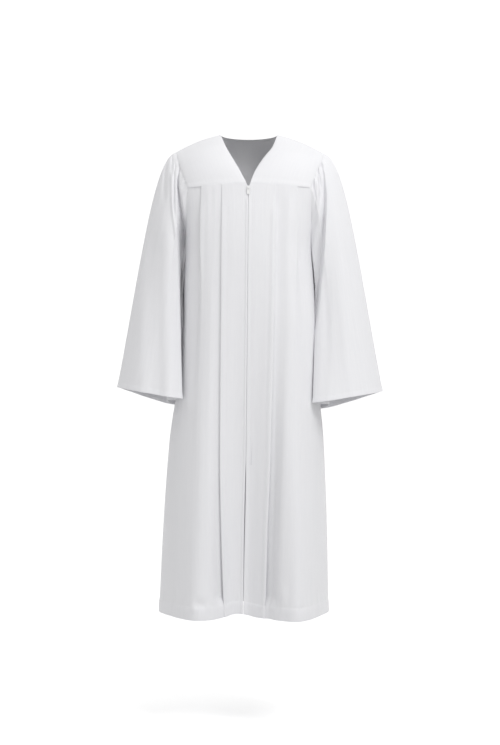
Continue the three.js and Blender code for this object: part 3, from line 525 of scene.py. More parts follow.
def grid_faces(rows, columns, wide):
    """Quads of a grid whose rows hold `wide` points, over `columns` of them; columns = wide closes a ring."""
    r, c = np.meshgrid(np.arange(rows - 1), np.arange(columns), indexing="ij")
    r, c = r.ravel(), c.ravel()
    right = (c + 1) % wide
    return np.stack([r * wide + c, (r + 1) * wide + c, (r + 1) * wide + right, r * wide + right], axis=1)


def cloth_lengths(grid, ring):
    """UV of a grid: mean length across in u and down in v, in metres. A ring gets one more column."""
    wide = np.concatenate([grid, grid[:, :1]], axis=1) if ring else grid
    across = np.linalg.norm(np.diff(wide, axis=1), axis=2).mean(axis=0)
    down = np.linalg.norm(np.diff(wide, axis=0), axis=2)
    u = np.concatenate([[0], np.cumsum(across)])
    v = np.vstack([np.zeros(wide.shape[1]), np.cumsum(down, axis=0)])
    return np.stack([np.broadcast_to(u, v.shape), -v], axis=-1) * MM


def shell(name, outer, inner, ring, material):
    """Closed wall between two grids of points, [row, column, xyz], with a strip round each open edge.

    Its faces are turned outwards if the volume under them, the sum of a . (b x c), comes out negative.
    """
    rows, wide = outer.shape[:2]
    columns = wide if ring else wide - 1
    offset = rows * wide
    uv_grid = cloth_lengths(outer, ring)
    uv_wide = uv_grid.shape[1]
    front = grid_faces(rows, columns, wide)
    front_uv = grid_faces(rows, columns, uv_wide)
    faces = [front, front[:, ::-1] + offset]
    corners = [front_uv, front_uv[:, ::-1]]

    def strip(edge, edge_uv):
        faces.append(np.stack([edge[1:], edge[:-1], edge[:-1] + offset, edge[1:] + offset], axis=1))
        corners.append(np.stack([edge_uv[1:], edge_uv[:-1], edge_uv[:-1], edge_uv[1:]], axis=1))

    top = np.arange(columns + 1)
    strip((top % wide)[::-1], top[::-1])
    strip((rows - 1) * wide + top % wide, (rows - 1) * uv_wide + top)
    if not ring:
        down = np.arange(rows)
        strip(down * wide, down * uv_wide)
        strip((down * wide + wide - 1)[::-1], (down * uv_wide + uv_wide - 1)[::-1])
    faces, corners = np.vstack(faces), np.vstack(corners)
    points = np.concatenate([outer.reshape(-1, 3), inner.reshape(-1, 3)])
    a, b, c, d = (points[faces[:, i]] for i in range(4))
    if np.sum(a * np.cross(b, c)) + np.sum(a * np.cross(c, d)) < 0:
        faces, corners = faces[:, ::-1], corners[:, ::-1]
    uv = uv_grid.reshape(-1, 2)[corners]
    piece = add_object(name, points, faces, material, uv=uv)
    print(name, "has", 2 * len(faces), "triangles")
    return piece


LINES = {"hem": [], "cuffs": [], "zip": []}  # lines of stitches, each a path and its outward directions


def line_above_hem(outer, inner, above, height, columns):
    """The path along some columns of a shell at a height above its hem, with the outward directions."""

    def at_height(grid):
        return [[np.interp(height, above[::-1, c], grid[::-1, c, k]) for k in range(3)] for c in columns]

    return np.array(at_height(outer)), unit(np.array(at_height(unit(outer - inner))))


def grid_normals(grid, ring, inside):
    """Normals of a grid of points, turned away from the inside point of each."""
    if ring:
        across = np.roll(grid, -1, axis=1) - np.roll(grid, 1, axis=1)
    else:
        across = np.gradient(grid, axis=1)
    normal = unit(np.cross(across, np.gradient(grid, axis=0)))
    flip = np.sum(normal * (grid - inside), axis=-1, keepdims=True) < 0
    return np.where(flip, -normal, normal)


# %% [markdown]
# ## Materials
# Choir robes are sewn from plain woven polyester. It is bright white and matt, with a faint sheen where it
# turns away, because its threads are smooth round filaments. The weave itself, about 25 threads to the
# centimetre, is far too fine to show, so it is drawn about three times as coarse and very shallow.


# %% Nodes and colours
def linear(code):
    """Linear colour, with alpha, of an sRGB hex value.

    The curve is s / 12.92 up to 0.04045, and ((s + 0.055) / 1.055) to the power 2.4 above it.
    """
    s = np.array([int(code[i : i + 2], 16) for i in (1, 3, 5)]) / 255
    low = s / 12.92
    high = ((s + 0.055) / 1.055) ** 2.4
    return (*np.where(s <= 0.04045, low, high).tolist(), 1.0)


def add(tree, kind, links=None, **settings):
    """Add a node. Settings are its properties, or its inputs by name with spaces as underscores."""
    node = tree.nodes.new(kind)
    for name, value in settings.items():
        socket = node.inputs.get(name.replace("_", " "))
        if hasattr(node, name):
            setattr(node, name, value)
        else:
            socket.default_value = value
    for name, source in (links or {}).items():
        socket = node.inputs[name] if isinstance(name, int) else node.inputs[name.replace("_", " ")]
        tree.links.new(source, socket)
    return node


def new_material(name):
    """A material with an empty node tree."""
    material = bpy.data.materials.new(name)
    material.use_nodes = True
    tree = material.node_tree
    tree.nodes.clear()
    return material, tree


def finish_material(tree, shader):
    """Join the shader to the output."""
    add(tree, "ShaderNodeOutputMaterial", {"Surface": shader.outputs[0]})


WAVE_PERIOD = 0.3142  # a wave texture of scale 1 repeats after this many units
SLUBS_A_METRE = (260, 14, 1)  # uneven threads: many across the cloth, and each one long
TONE_A, TONE_B = 6, 7  # the two colour inputs of a mix node


def woven(name, colour, shade, thread, depth, roughness, sheen):
    """Plain weave: two crossing sets of threads `thread` mm apart, soft rumples, and a faint tone change."""
    material, tree = new_material(name)
    uv = add(tree, "ShaderNodeUVMap", uv_map="cloth").outputs["UV"]
    body = add(tree, "ShaderNodeTexCoord").outputs["Object"]
    scale = WAVE_PERIOD / (thread * MM)
    warp = add(tree, "ShaderNodeTexWave", {"Vector": uv}, bands_direction="X", Scale=scale)
    weft = add(tree, "ShaderNodeTexWave", {"Vector": uv}, bands_direction="Y", Scale=scale)
    weave = add(tree, "ShaderNodeMath", {0: warp.outputs["Fac"], 1: weft.outputs["Fac"]}, operation="ADD")
    stretch = add(tree, "ShaderNodeMapping", {"Vector": uv}, Scale=SLUBS_A_METRE)
    slub = add(tree, "ShaderNodeTexNoise", {"Vector": stretch.outputs[0]}, Scale=1.0, Detail=3.0)
    rumple = add(tree, "ShaderNodeTexNoise", {"Vector": body}, Scale=34.0, Detail=2.0, Roughness=0.45)
    fine = add(tree, "ShaderNodeBump", {"Height": weave.outputs[0]}, Strength=0.35, Distance=depth * MM)
    lines = {"Height": slub.outputs["Fac"], "Normal": fine.outputs[0]}
    grain = add(tree, "ShaderNodeBump", lines, Strength=0.25, Distance=0.25 * MM)
    soft = {"Height": rumple.outputs["Fac"], "Normal": grain.outputs[0]}
    crease = add(tree, "ShaderNodeBump", soft, Strength=0.3, Distance=1.2 * MM)
    tone = add(tree, "ShaderNodeMix", {0: slub.outputs["Fac"]}, data_type="RGBA")
    tone.inputs[TONE_A].default_value = linear(shade)
    tone.inputs[TONE_B].default_value = linear(colour)
    shader = add(
        tree,
        "ShaderNodeBsdfPrincipled",
        {"Base_Color": tone.outputs[2], "Normal": crease.outputs[0]},
        Roughness=roughness,
        Sheen_Weight=sheen,
        Sheen_Roughness=0.45,
        Subsurface_Weight=0.2,
        Subsurface_Scale=1.5 * MM,
        Specular_IOR_Level=0.35,
        IOR=1.55,
    )
    shader.inputs["Subsurface Radius"].default_value = (1, 1, 1)
    finish_material(tree, shader)
    return material


def enamelled(name, colour):
    """Stoving enamel on die-cast zinc: smooth, white, with small waves left by the casting under it."""
    material, tree = new_material(name)
    place = add(tree, "ShaderNodeTexCoord").outputs["Object"]
    skin = add(tree, "ShaderNodeTexNoise", {"Vector": place}, Scale=900.0, Detail=2.0)
    bumps = add(tree, "ShaderNodeBump", {"Height": skin.outputs["Fac"]}, Strength=0.2, Distance=0.1 * MM)
    rough = add(tree, "ShaderNodeMapRange", {"Value": skin.outputs["Fac"]}, To_Min=0.22, To_Max=0.36)
    links = {"Normal": bumps.outputs[0], "Roughness": rough.outputs[0]}
    shader = add(tree, "ShaderNodeBsdfPrincipled", links, Base_Color=linear(colour), Coat_Weight=0.4)
    finish_material(tree, shader)
    return material


def threads(name, colour):
    """Spun polyester sewing thread: matt, with fine fibres that soften its edge."""
    material, tree = new_material(name)
    place = add(tree, "ShaderNodeTexCoord").outputs["Object"]
    ply = add(tree, "ShaderNodeTexNoise", {"Vector": place}, Scale=2500.0, Detail=1.0)
    bumps = add(tree, "ShaderNodeBump", {"Height": ply.outputs["Fac"]}, Strength=0.5, Distance=0.1 * MM)
    links = {"Normal": bumps.outputs[0]}
    shader = add(tree, "ShaderNodeBsdfPrincipled", links, Base_Color=linear(colour), Roughness=0.7)
    shader.inputs["Sheen Weight"].default_value = 0.3
    finish_material(tree, shader)
    return material


cloth = woven("white_woven_polyester", "#EDEDEF", "#E8E8EB", 1.2, 0.12, 0.66, 0.25)
tape_cloth = woven("white_zip_tape", "#E9E9EC", "#DEDEE2", 0.9, 0.2, 0.75, 0.15)
enamel = enamelled("white_enamelled_zinc", "#F1F1F1")
thread = threads("white_polyester_thread", "#F0F0F2")
nylon = threads("white_nylon_coil", "#ECECEE")
print("materials:", [m.name for m in bpy.data.materials])

# %% [markdown]
# ## The fronts
# Each front is one width of cloth. Two knife pleats take up its fullness at the yoke: the cloth runs out to a
# fold, doubles back underneath, and turns again. In the plane of a level section that path is a line with two
# half-circles in it, so it is worked out there, together with the cloth's thickness. Pleats whose overlap
# fades to nothing further down become soft steps.

# %% Folds pressed or hung into the fronts
# distance from the middle at the top and at the foot, half width at both, height at both, top and foot z
FRONT_FOLDS = {
    "right": [
        [36, 30, 12, 34, 0.0, -3.0, -300, -1190],
        [92, 96, 7, 12, -1.6, 0.0, -140, -420],
        [100, 100, 14, 22, 0.0, 3.0, -360, -1190],
    ],
    "left": [
        [30, 8, 10, 16, 0.0, -2.0, -300, -1190],
        [78, 66, 14, 20, -3.0, -4.5, -160, -1190],
        [104, 104, 10, 20, 1.5, 2.5, -160, -1190],
    ],
}
FOLD_SPREAD = 1.6  # width of a bump's base, as a multiple of the width at which it still looks full
FOLD_GROW = 0.8  # power at which a fold passes from its upper height to its lower one
FADE_EARLY = 20  # a fold begins this far above its top
FADE_LENGTH = 60  # and takes this long to reach its height
PLEAT_ROLL = {"right": [1.6, 3.0], "left": [3.0, 1.2]}  # how far the cloth beside each fold stands forward
PLEAT_ROLL_TOP = -160
PLEAT_ROLL_IN = 3
PLEAT_ROLL_HALF = 12
LIP = {"right": 1.8, "left": 0.5}  # height of the rounded front edge beside the zip
LIP_IN = 2.6  # from the edge to the lip's crest
LIP_HALF = 4.2
LIP_FADE = 20
TAB_FOOT = -164  # above this the edges lie flat beside the slider and its tab
PLACKET_HALF = 9  # from the closure's edge to the line of stitches beside it
PLACKET_GROOVE = 0.35  # depth of the groove that those stitches press, and its half width
PLACKET_GROOVE_HALF = 1.4
# x, z, half width, half height, depth: where the hem's sewing has drawn the cloth in and out
HEM_DIMPLES = {
    "right": [[-117, -1150, 22, 17, -4.5], [-134, -1160, 12, 12, 2.0], [-100, -1158, 11, 11, 1.5]],
    "left": [
        [62, -1146, 14, 30, -4.5],
        [84, -1136, 14, 44, 3.0],
        [50, -1160, 8, 10, 1.2],
        [128, -1160, 20, 10, -1.6],
    ],
}


def front_relief(side, u, z, edge):
    """Height of all that stands off a front's pleated path, at a distance u from the middle.

    It adds up the long soft folds, the hem's dimples, the roll of cloth that the layers of each pleat push
    forward, and the rounded edge that hides the zip, less the groove along its stitches.
    """
    height = np.zeros(np.broadcast(u, z).shape)
    for top, foot, wide_top, wide_foot, high_top, high_foot, z_top, z_foot in FRONT_FOLDS[side]:
        t = np.clip((z - z_top) / (z_foot - z_top), 0, 1)
        share = mix(high_top, high_foot, t**FOLD_GROW) * smooth((z_top + FADE_EARLY - z) / FADE_LENGTH)
        height = height + share * bump((u - mix(top, foot, t)) / (FOLD_SPREAD * mix(wide_top, wide_foot, t)))
    for x, middle, wide, high, depth in HEM_DIMPLES[side]:
        centre = float(abs(length_at_x("front", middle, x)))
        height = height + depth * bump((u - centre) / wide) * bump((z - middle) / high)
    sign = SIDE_OF[side]["sign"]
    for table, high in zip(PLEATS[side], PLEAT_ROLL[side]):
        fold_x, _, _, overlap = row_at(table, z)
        from_fold = u - sign * length_at_x("front", z, sign * fold_x)
        share = np.sqrt(overlap) * smooth((PLEAT_ROLL_TOP - z) / FADE_LENGTH)
        height = height + high * share * bump((from_fold + PLEAT_ROLL_IN) / PLEAT_ROLL_HALF)
    from_edge = u - edge
    lip = LIP[side] * smooth((TAB_FOOT - z) / LIP_FADE)
    groove = PLACKET_GROOVE * bump((from_edge - PLACKET_HALF) / PLACKET_GROOVE_HALF)
    return height + lip * bump((from_edge - LIP_IN) / LIP_HALF) - groove


PLEAT_STEPS = 4  # a path's steps for each pleat: the panel before it, its fold, the layer under it, the turn
SIDE_Q = 8  # where the last stretch begins and ends
END_Q = 9
PLEAT_CURLS = 4  # a pleat's two half-circles take the cloth this many curl radii in
CLEAR_CURLS = 3  # and the cloth beyond it starts this many out from it
PANEL_RISE = 0.6  # share of the stretch after a pleat over which the cloth comes out again
SIDE_RISE = 0.45


def front_path(side, z, q):
    """Middle line of the cloth at height z: length from the middle and height off the section.

    q runs from 0 at the closure: 0-1 the centre panel, 1-2 its fold, 2-3 the layer under it, 3-4 the turn
    back out; 4-5, 5-6, 6-7 and 7-8 the same for the second pleat, and 8-9 from there to the side seam.
    """
    sign = SIDE_OF[side]["sign"]
    x, gap = row_at(CLOSURE, z)
    edge = sign * length_at_x("front", z, x) + gap
    start = edge
    low = np.zeros_like(edge)
    u = np.zeros(np.broadcast(z, q).shape)
    d = np.zeros_like(u)
    for n, table in enumerate(PLEATS[side]):
        fold_x, under, curl, overlap = row_at(table, z)
        fold = sign * length_at_x("front", z, sign * fold_x)
        step = q - PLEAT_STEPS * n
        share = np.clip(step, 0, 1)
        k = np.clip((step - 1) / (PLEAT_STEPS - 1), 0, 1)
        seg = np.clip(step - 1, 0, PLEAT_STEPS - 1)
        angle = np.radians(90 - 180 * np.clip(seg, 0, 1))
        back_angle = np.radians(90 - 180 * np.clip(seg - 2, 0, 1))
        is_under = (seg >= 1) & (seg < 2)
        fold_u = fold - curl + curl * np.cos(angle)
        back_u = fold - under - curl * np.cos(back_angle)
        turn_u = np.where(seg < 1, fold_u, back_u)
        turn_u = np.where(is_under, mix(fold - curl, fold - under, seg - 1), turn_u)
        turn_d = np.where(seg < 1, -curl + curl * np.sin(angle), -3 * curl + curl * np.sin(back_angle))
        turn_d = np.where(is_under, -2 * curl, turn_d)
        bend_u = mix(fold + SOFT_STEP * (k - 0.5), turn_u, overlap)
        bend_d = mix(-PLEAT_CURLS * curl * smooth(k), turn_d, overlap)
        first_u = mix(fold - SOFT_STEP / 2, fold - curl, overlap)
        last_u = mix(fold + SOFT_STEP / 2, fold - under, overlap)
        here = (step >= 0) & (step < 1)
        u = np.where(here, mix(start, first_u, share), u)
        d = np.where(here, low * (1 - smooth(share / PANEL_RISE)), d)
        here = (step >= 1) & (step < PLEAT_STEPS)
        u = np.where(here, bend_u, u)
        d = np.where(here, bend_d, d)
        start = np.maximum(fold, last_u) + CLEAR_CURLS * curl
        low = -PLEAT_CURLS * curl
    share = np.clip(q - SIDE_Q, 0, 1)
    here = q >= SIDE_Q
    u = np.where(here, mix(start, girth("front", z, sign) - SEAM / 2, share), u)
    d = np.where(here, low * (1 - smooth(share / SIDE_RISE)), d)
    return u, d + front_relief(side, u, z, edge)


def side_corner(side):
    """Share of the stretch beyond the last pleat at which the armhole's corner lies."""
    sign = SIDE_OF[side]["sign"]
    fold_x, _, curl, _ = row_at(PLEATS[side][1], YOKE_SIDE)
    start = sign * length_at_x("front", YOKE_SIDE, sign * fold_x) + CLEAR_CURLS * curl
    end = girth("front", YOKE_SIDE, sign)
    return float((CORNER_SHARE * end - start) / (end - start))


def armhole_drop(share):
    """Height of the armhole's edge from its corner (0) to the underarm (1)."""
    return mix(YOKE_SIDE, UNDERARM, 1 - (1 - share) ** ARMHOLE_ROUND)


HEM_RISE = 8  # how far the fronts' hem is drawn up at the closure, where that is most, and over what width
HEM_RISE_X = -14
HEM_RISE_WIDTH = 34


def hem_rise(x):
    """Height of the fronts' hem above its lowest line."""
    return HEM_RISE * np.exp(-(((x - HEM_RISE_X) / HEM_RISE_WIDTH) ** 2))


def seam_height(share):
    """Height of the front yoke seam from the closure (0) to the armhole's corner (1)."""
    return mix(YOKE_CENTRE, YOKE_SIDE, share)


# %% Rows and columns of a front
STEP_COLUMNS = [40, 9, 3, 9, 22, 9, 3, 9]  # columns in each step of the path up to the last stretch
NEAR_COLUMNS = 10  # and in that stretch, before the armhole's corner and after it
ARM_COLUMNS = 30
PANEL_CLOSER = 1.35  # powers that bring columns and rows closer together where each stretch begins
ARM_CLOSER = 1.6
ROWS_CLOSER = 1.1
# shares of the height: where the upper rows end above the stitching, the rows at it, and those at the edge
UPPER_END = 0.004
STITCH_ROWS = [-0.002, 0, 0.002, 0.006, 0.012, 0.018, 0.024]
STITCH_ROWS_END = 0.998
EDGE_ROWS = [0.9985, 1.0]


def front_columns(side):
    """Path places from closure to side seam, closest in the folds and at the armhole's steep corner."""
    steps = [n + np.linspace(0, 1, count, endpoint=False) for n, count in enumerate(STEP_COLUMNS)]
    steps[0] = steps[0] ** PANEL_CLOSER
    corner = side_corner(side)
    near = np.linspace(0, corner, NEAR_COLUMNS, endpoint=False)
    arm = mix(corner, 1, np.linspace(0, 1, ARM_COLUMNS) ** ARM_CLOSER)
    return np.concatenate([*steps, SIDE_Q + near, SIDE_Q + arm])


def rows_to_hem(count):
    """Shares from top to hem, as a column, with closer rows where the hem's stitching lies."""
    hem_share = 1 - HEM_DEPTH / (YOKE_SIDE - HEM)
    upper = np.linspace(0, 1, count) ** ROWS_CLOSER * (hem_share - UPPER_END)
    lower = hem_share + np.array(STITCH_ROWS)
    return np.unique(np.concatenate([upper, lower[lower < STITCH_ROWS_END], EDGE_ROWS]))[:, None]


# %% Hems
STITCH_IN = 1.6  # how far a hem's stitches lie inside the edge of its turned-up cloth
HEM_STEP = 3.0  # height over which the turned-up layer begins
GROOVE_DOWN = 1.5  # the groove that the stitches press: how far below them, its half height and its depth
GROOVE_HALF = 2.6
GROOVE_DEPTH = 0.6
EDGE_HEIGHT = 2.0  # the rounded lowest edge: its height, and how much thinner it is outside and inside
EDGE_OUTSIDE = 0.3
EDGE_INSIDE = 0.4
PUCKERS = [(9, 0.10), (14, 0.12), (23, 0.2), (37, 0.25), (61, 0.3)]  # length of each wave, and its height
PUCKER_LEAST = 0.25  # share of that height which is left away from the stitches
PUCKER_REACH = 1.5
PUCKER_SEED = {"front_right": 11, "front_left": 12, "back": 13, "sleeve_right": 14, "sleeve_left": 15}


def hem_profile(above, depth):
    """What the turned-up hem adds outside and inside, at a height above the hem's edge."""
    inside_hem = smooth((depth - above) / HEM_STEP)
    groove = bump((above - depth + STITCH_IN + GROOVE_DOWN) / GROOVE_HALF)
    edge = 1 - smooth(above / EDGE_HEIGHT)
    outside = LAP * inside_hem - GROOVE_DEPTH * groove - EDGE_OUTSIDE * edge
    return outside, TURNED * inside_hem - EDGE_INSIDE * edge


def hem_pucker(node, along, above, depth):
    """Slight waves that sewing draws into a hem: a sum of a few sines along it, strongest at the stitches."""
    rng = np.random.default_rng(PUCKER_SEED[node])
    height = 0
    for spacing, amount in PUCKERS:
        phase = rng.uniform(0, 2 * np.pi)
        height = height + amount * np.sin(2 * np.pi * along / spacing + phase)
    return height * (PUCKER_LEAST + (1 - PUCKER_LEAST) * bump((above - depth) / (PUCKER_REACH * depth)))


# %% Shells of the fronts
FRONT_ROWS = 170
SLOPE_STEP = 0.02  # step along the path over which its direction is measured
SHORT_OF_FOLD = 0.001


def front(side):
    """Shell of a front. The path's own normal carries the thickness, so that folded layers stay apart."""
    sign = SIDE_OF[side]["sign"]
    q = front_columns(side)[None]
    corner_u = CORNER_SHARE * girth("front", YOKE_SIDE, sign)
    level_u, _ = front_path(side, np.full(q.shape, float(YOKE_SIDE)), q)
    corner_q = SIDE_Q + side_corner(side)
    seam_top = seam_height(np.clip(level_u / corner_u, 0, 1))
    arm_top = armhole_drop(np.clip((q - corner_q) / (END_Q - corner_q), 0, 1))
    top = np.where(q >= corner_q, arm_top, seam_top) - SEAM
    foot_u, _ = front_path(side, np.full(q.shape, float(HEM)), q)
    foot = HEM + hem_rise(sign * foot_u)
    z = mix(top, foot, rows_to_hem(FRONT_ROWS))
    q = np.broadcast_to(q, z.shape)
    u, d = front_path(side, z, q)
    u1, d1 = front_path(side, z, np.maximum(q - SLOPE_STEP, 0))
    u2, d2 = front_path(side, z, np.minimum(q + SLOPE_STEP, END_Q))
    run = unit(np.stack([u2 - u1, d2 - d1], axis=-1))
    above = z - foot
    added, turned = hem_profile(above, HEM_DEPTH)
    arc = np.cumsum(np.hypot(np.gradient(u, axis=1), np.gradient(d, axis=1)), axis=1)
    pucker = hem_pucker(f"front_{side}", arc, above, HEM_DEPTH)

    def face(off):
        return on_body("front", z, sign * (u - run[..., 1] * off), d + run[..., 0] * off)

    outer = face(CLOTH / 2 + added + pucker)
    inner = face(-CLOTH / 2 - turned + pucker)
    for start in range(0, END_Q, PLEAT_STEPS):
        end = start + 1 if start == SIDE_Q else start + 1 - SHORT_OF_FOLD
        shown = np.flatnonzero((q[0] >= start) & (q[0] <= end))
        LINES["hem"].append(line_above_hem(outer, inner, above, HEM_DEPTH - STITCH_IN, shown))
    piece = shell(f"front_{side}_cloth", outer, inner, False, cloth)
    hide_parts(f"front_{side}")


def front_armhole(side, share):
    """Armhole edge of a front from the corner (0) to the underarm (1)."""
    sign = SIDE_OF[side]["sign"]
    z = armhole_drop(share)
    corner, _ = front_path(side, z, np.full(z.shape, SIDE_Q + side_corner(side)))
    return on_body("front", z, sign * mix(corner, girth("front", z, sign), share), 0)


for side in SIDE_OF:
    front(side)

# %% [markdown]
# ## The back
# The back is wider than the fronts together. Its fullness is drawn up under the yoke into a row of flutes,
# small and even at the seam, wider and less even further down. Each flute is one soft ridge in a table of
# place, width and depth, and they add up to the back's height off its level sections.


# %% Flutes and the back's shell
FLUTE_GROW = 0.8  # power at which the flutes pass from their size at the yoke to that at the hem
FLUTE_BASE = (1.5, 8)  # how far inside its section the cloth between the flutes lies, at the yoke and the hem
FLUTE_FADE = 4  # it lies on the section at the side seam, and fades to that over 1 / this of the way
FLUTE_SWAY = 0.012  # how far a flute wanders on its way down, as a share of half the back's width
SWAY_TURN = 3.1
SWAY_PHASE = 17
BACK_COLUMNS = 84  # from the middle to the armhole's corner, and from there to the side seam
BACK_ARM_COLUMNS = 26
BACK_ARM_CLOSER = 1.5
BACK_ROWS = 150
BACK_HALF = 420  # half the cloth's width, for the lengths of its hem's waves


def flute_height(place, z):
    """Height of the back's cloth off its level section."""
    grow = np.clip((z - YOKE_SIDE) / (HEM - YOKE_SIDE), 0, 1) ** FLUTE_GROW
    height = -mix(*FLUTE_BASE, grow) * np.clip(FLUTE_FADE * (1 - np.abs(place)), 0, 1)
    for centre, half, at_yoke, at_hem in FLUTES:
        sway = FLUTE_SWAY * np.sin(SWAY_TURN * grow + SWAY_PHASE * centre)
        height = height + mix(at_yoke, at_hem, grow) * bump((place - centre - sway) / half)
    return height


def back_point(place, z, d):
    """Point of the back at a place from -1 to 1, side seam to side seam, and a height d off the section."""
    sign = np.where(place < 0, -1, 1)
    length = np.where(sign < 0, girth("back", z, -1), girth("back", z, 1)) - SEAM / 2
    return on_body("back", z, place * length, d)


def back_armhole(side, share):
    """Armhole edge of the back from the corner (0) to the underarm (1)."""
    return back_point(SIDE_OF[side]["sign"] * mix(CORNER_SHARE, 1, share), armhole_drop(share), 0.0)


def back():
    """Shell of the back, between its top edge under the yoke and the armholes, and the level hem."""
    half = np.linspace(0, CORNER_SHARE, BACK_COLUMNS, endpoint=False)
    arm = mix(CORNER_SHARE, 1, np.linspace(0, 1, BACK_ARM_COLUMNS) ** BACK_ARM_CLOSER)
    half = np.concatenate([half, arm])
    place = np.concatenate([-half[:0:-1], half])[None]
    drop = armhole_drop(np.clip((np.abs(place) - CORNER_SHARE) / (1 - CORNER_SHARE), 0, 1))
    top = np.where(np.abs(place) > CORNER_SHARE, drop, float(YOKE_SIDE)) - SEAM
    z = mix(top, float(HEM), rows_to_hem(BACK_ROWS))
    place = np.broadcast_to(place, z.shape)
    middle = back_point(place, z, flute_height(place, z))
    normal = grid_normals(middle, False, middle * (0, 0, 1))
    above = z - HEM
    added, turned = hem_profile(above, HEM_DEPTH)
    pucker = hem_pucker("back", place * BACK_HALF, above, HEM_DEPTH)
    outer = middle + normal * (CLOTH / 2 + added + pucker)[..., None]
    inner = middle - normal * (CLOTH / 2 + turned - pucker)[..., None]
    LINES["hem"].append(line_above_hem(outer, inner, above, HEM_DEPTH - STITCH_IN, range(z.shape[1])))
    piece = shell("back_cloth", outer, inner, False, cloth)
    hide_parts("back")


back()

# %% [markdown]
# ## The yoke
# The yoke is the only fitted part: two fronts and a back, sewn along the shoulders. Each is a patch stretched
# between its four edges, with a bulge for the chest or the shoulder blades. Its lower edge laps a little over
# the pleated cloth and stands proud of it, which is what draws the fine shadow along the seam.

# %% Edges of the yoke
YOKE_LAP = 1.6  # how far the yoke's lower edge reaches over the panel below
YOKE_PROUD = 0.9  # how far it stands off it
YOKE_PRESSED = 0.35  # how much thinner its last edge is pressed
# share of the way down at which each of the three begins, and the share that it takes
LAP_AT = (0.97, 0.03)
PROUD_AT = (0.9, 0.1)
PRESSED_AT = (0.985, 0.015)
YOKE_ROWS = 61
YOKE_COLUMNS = {"front": 61, "back": 121}
BULGE_ACROSS = 0.6  # powers of the bulge's sines: the smaller, the flatter its top
BACK_BULGE_DOWN = 0.8
# a point of the surface times the first, plus the second, lies inside the wearer's chest
YOKE_INSIDE = (0.5, 0, 0)
YOKE_INSIDE_OF = {"front": (0, 20, -160), "back": (0, -20, -160)}


def bezier2(a, b, c, t):
    """Curve from a to c that leans towards b: a (1 - t)^2 + 2 b t (1 - t) + c t^2."""
    a, b, c = (np.asarray(v, float) for v in (a, b, c))
    t = np.asarray(t, float)[..., None]
    return a * (1 - t) ** 2 + b * 2 * t * (1 - t) + c * t * t


def neck_edge(side, t):
    """Neck edge of a front yoke from the shoulder seam (0) to the closure (1)."""
    x, y, z = row_at(NECK_EDGE[side], t)
    return point(SIDE_OF[side]["sign"] * x, y, z)


def shoulder_seam(side, t):
    """Shoulder seam from its neck end (0) to the sleeve (1), with a slight arch."""
    t = np.asarray(t, float)
    start = np.array([SIDE_OF[side]["sign"] * NECK_HALF, 0.0, 0.0])
    p = start + (np.array(SHOULDER[side], float) - start) * t[..., None]
    p[..., 2] += SHOULDER_RISE * np.sin(np.pi * t)
    return p


def yoke_armhole(side, face, t):
    """Armhole edge of the yoke from the shoulder (0) to the yoke seam (1)."""
    sign = SIDE_OF[side]["sign"]
    lean = np.array(ARM_FRONT if face == "front" else ARM_BACK, float) * (sign, 1, 1)
    zero = np.zeros(1)
    corner = front_armhole(side, zero)[0] if face == "front" else back_armhole(side, zero)[0]
    return bezier2(SHOULDER[side], lean, corner, t)


def yoke_seam(side, t):
    """Lower edge of a front yoke from the closure (0) to the armhole's corner (1)."""
    sign = SIDE_OF[side]["sign"]
    z = seam_height(np.asarray(t, float))
    x, gap = row_at(CLOSURE, z)
    start = sign * length_at_x("front", z, x + sign * gap)
    return on_body("front", z, sign * mix(start, CORNER_SHARE * girth("front", z, sign), t), 0)


def patch(top, bottom, left, right, u, v):
    """Surface between four edges: the two straight blends across and down, less the corners counted twice."""
    zero, one = np.zeros(1), np.ones(1)
    c00, c10 = top(zero)[0], top(one)[0]
    c01, c11 = bottom(zero)[0], bottom(one)[0]
    a, b = u[..., None], v[..., None]
    p = top(u) * (1 - b) + bottom(u) * b + left(v) * (1 - a) + right(v) * a
    return p - c00 * (1 - a) * (1 - b) - c10 * a * (1 - b) - c01 * (1 - a) * b - c11 * a * b


def ease_at(v, at):
    """0 above a place on the way down, 1 beyond the share that follows it, and a soft step between."""
    return smooth((v - at[0]) / at[1])


def yoke_shell(node, face, middle, v):
    """Shell of a yoke piece, with its lower edge lapped over the panel and its seam pressed.

    Its top edge is cut square to y, because the pieces meet along the shoulder seam.
    """
    normal = grid_normals(middle, False, middle * YOKE_INSIDE + YOKE_INSIDE_OF[face])
    normal[0] = unit(normal[0] * (1, 0, 1))
    middle = middle + normal * (YOKE_PROUD * ease_at(v, PROUD_AT))[..., None]
    middle[..., 2] -= YOKE_LAP * ease_at(v, LAP_AT)
    outer = middle + normal * (CLOTH / 2 - YOKE_PRESSED * ease_at(v, PRESSED_AT))[..., None]
    inner = middle - normal * (CLOTH / 2)
    piece = shell(f"{node}_cloth", outer, inner, False, cloth)
    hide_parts(node)


def yoke_places(face):
    """Shares of the way down and across for each point of a yoke piece."""
    down, across = np.linspace(0, 1, YOKE_ROWS), np.linspace(0, 1, YOKE_COLUMNS[face])
    return np.meshgrid(down, across, indexing="ij")


def yoke_front(side):
    """Front yoke of one side: a patch with a bulge for the chest."""
    v, u = yoke_places("front")
    middle = patch(
        lambda t: shoulder_seam(side, t),
        lambda t: yoke_seam(side, t),
        lambda t: neck_edge(side, t),
        lambda t: yoke_armhole(side, "front", t),
        u,
        v,
    )
    rise = np.sin(np.pi * v) * np.sin(np.pi * u) ** BULGE_ACROSS
    middle = middle + np.array(FRONT_BULGE) * rise[..., None]
    middle[..., 1] -= SEAM / 2 * (1 - v)
    print("yoke front", side, "reaches", round(float(np.abs(middle[..., 0]).max()), 1), "mm out")
    yoke_shell(f"yoke_front_{side}", "front", middle, v)


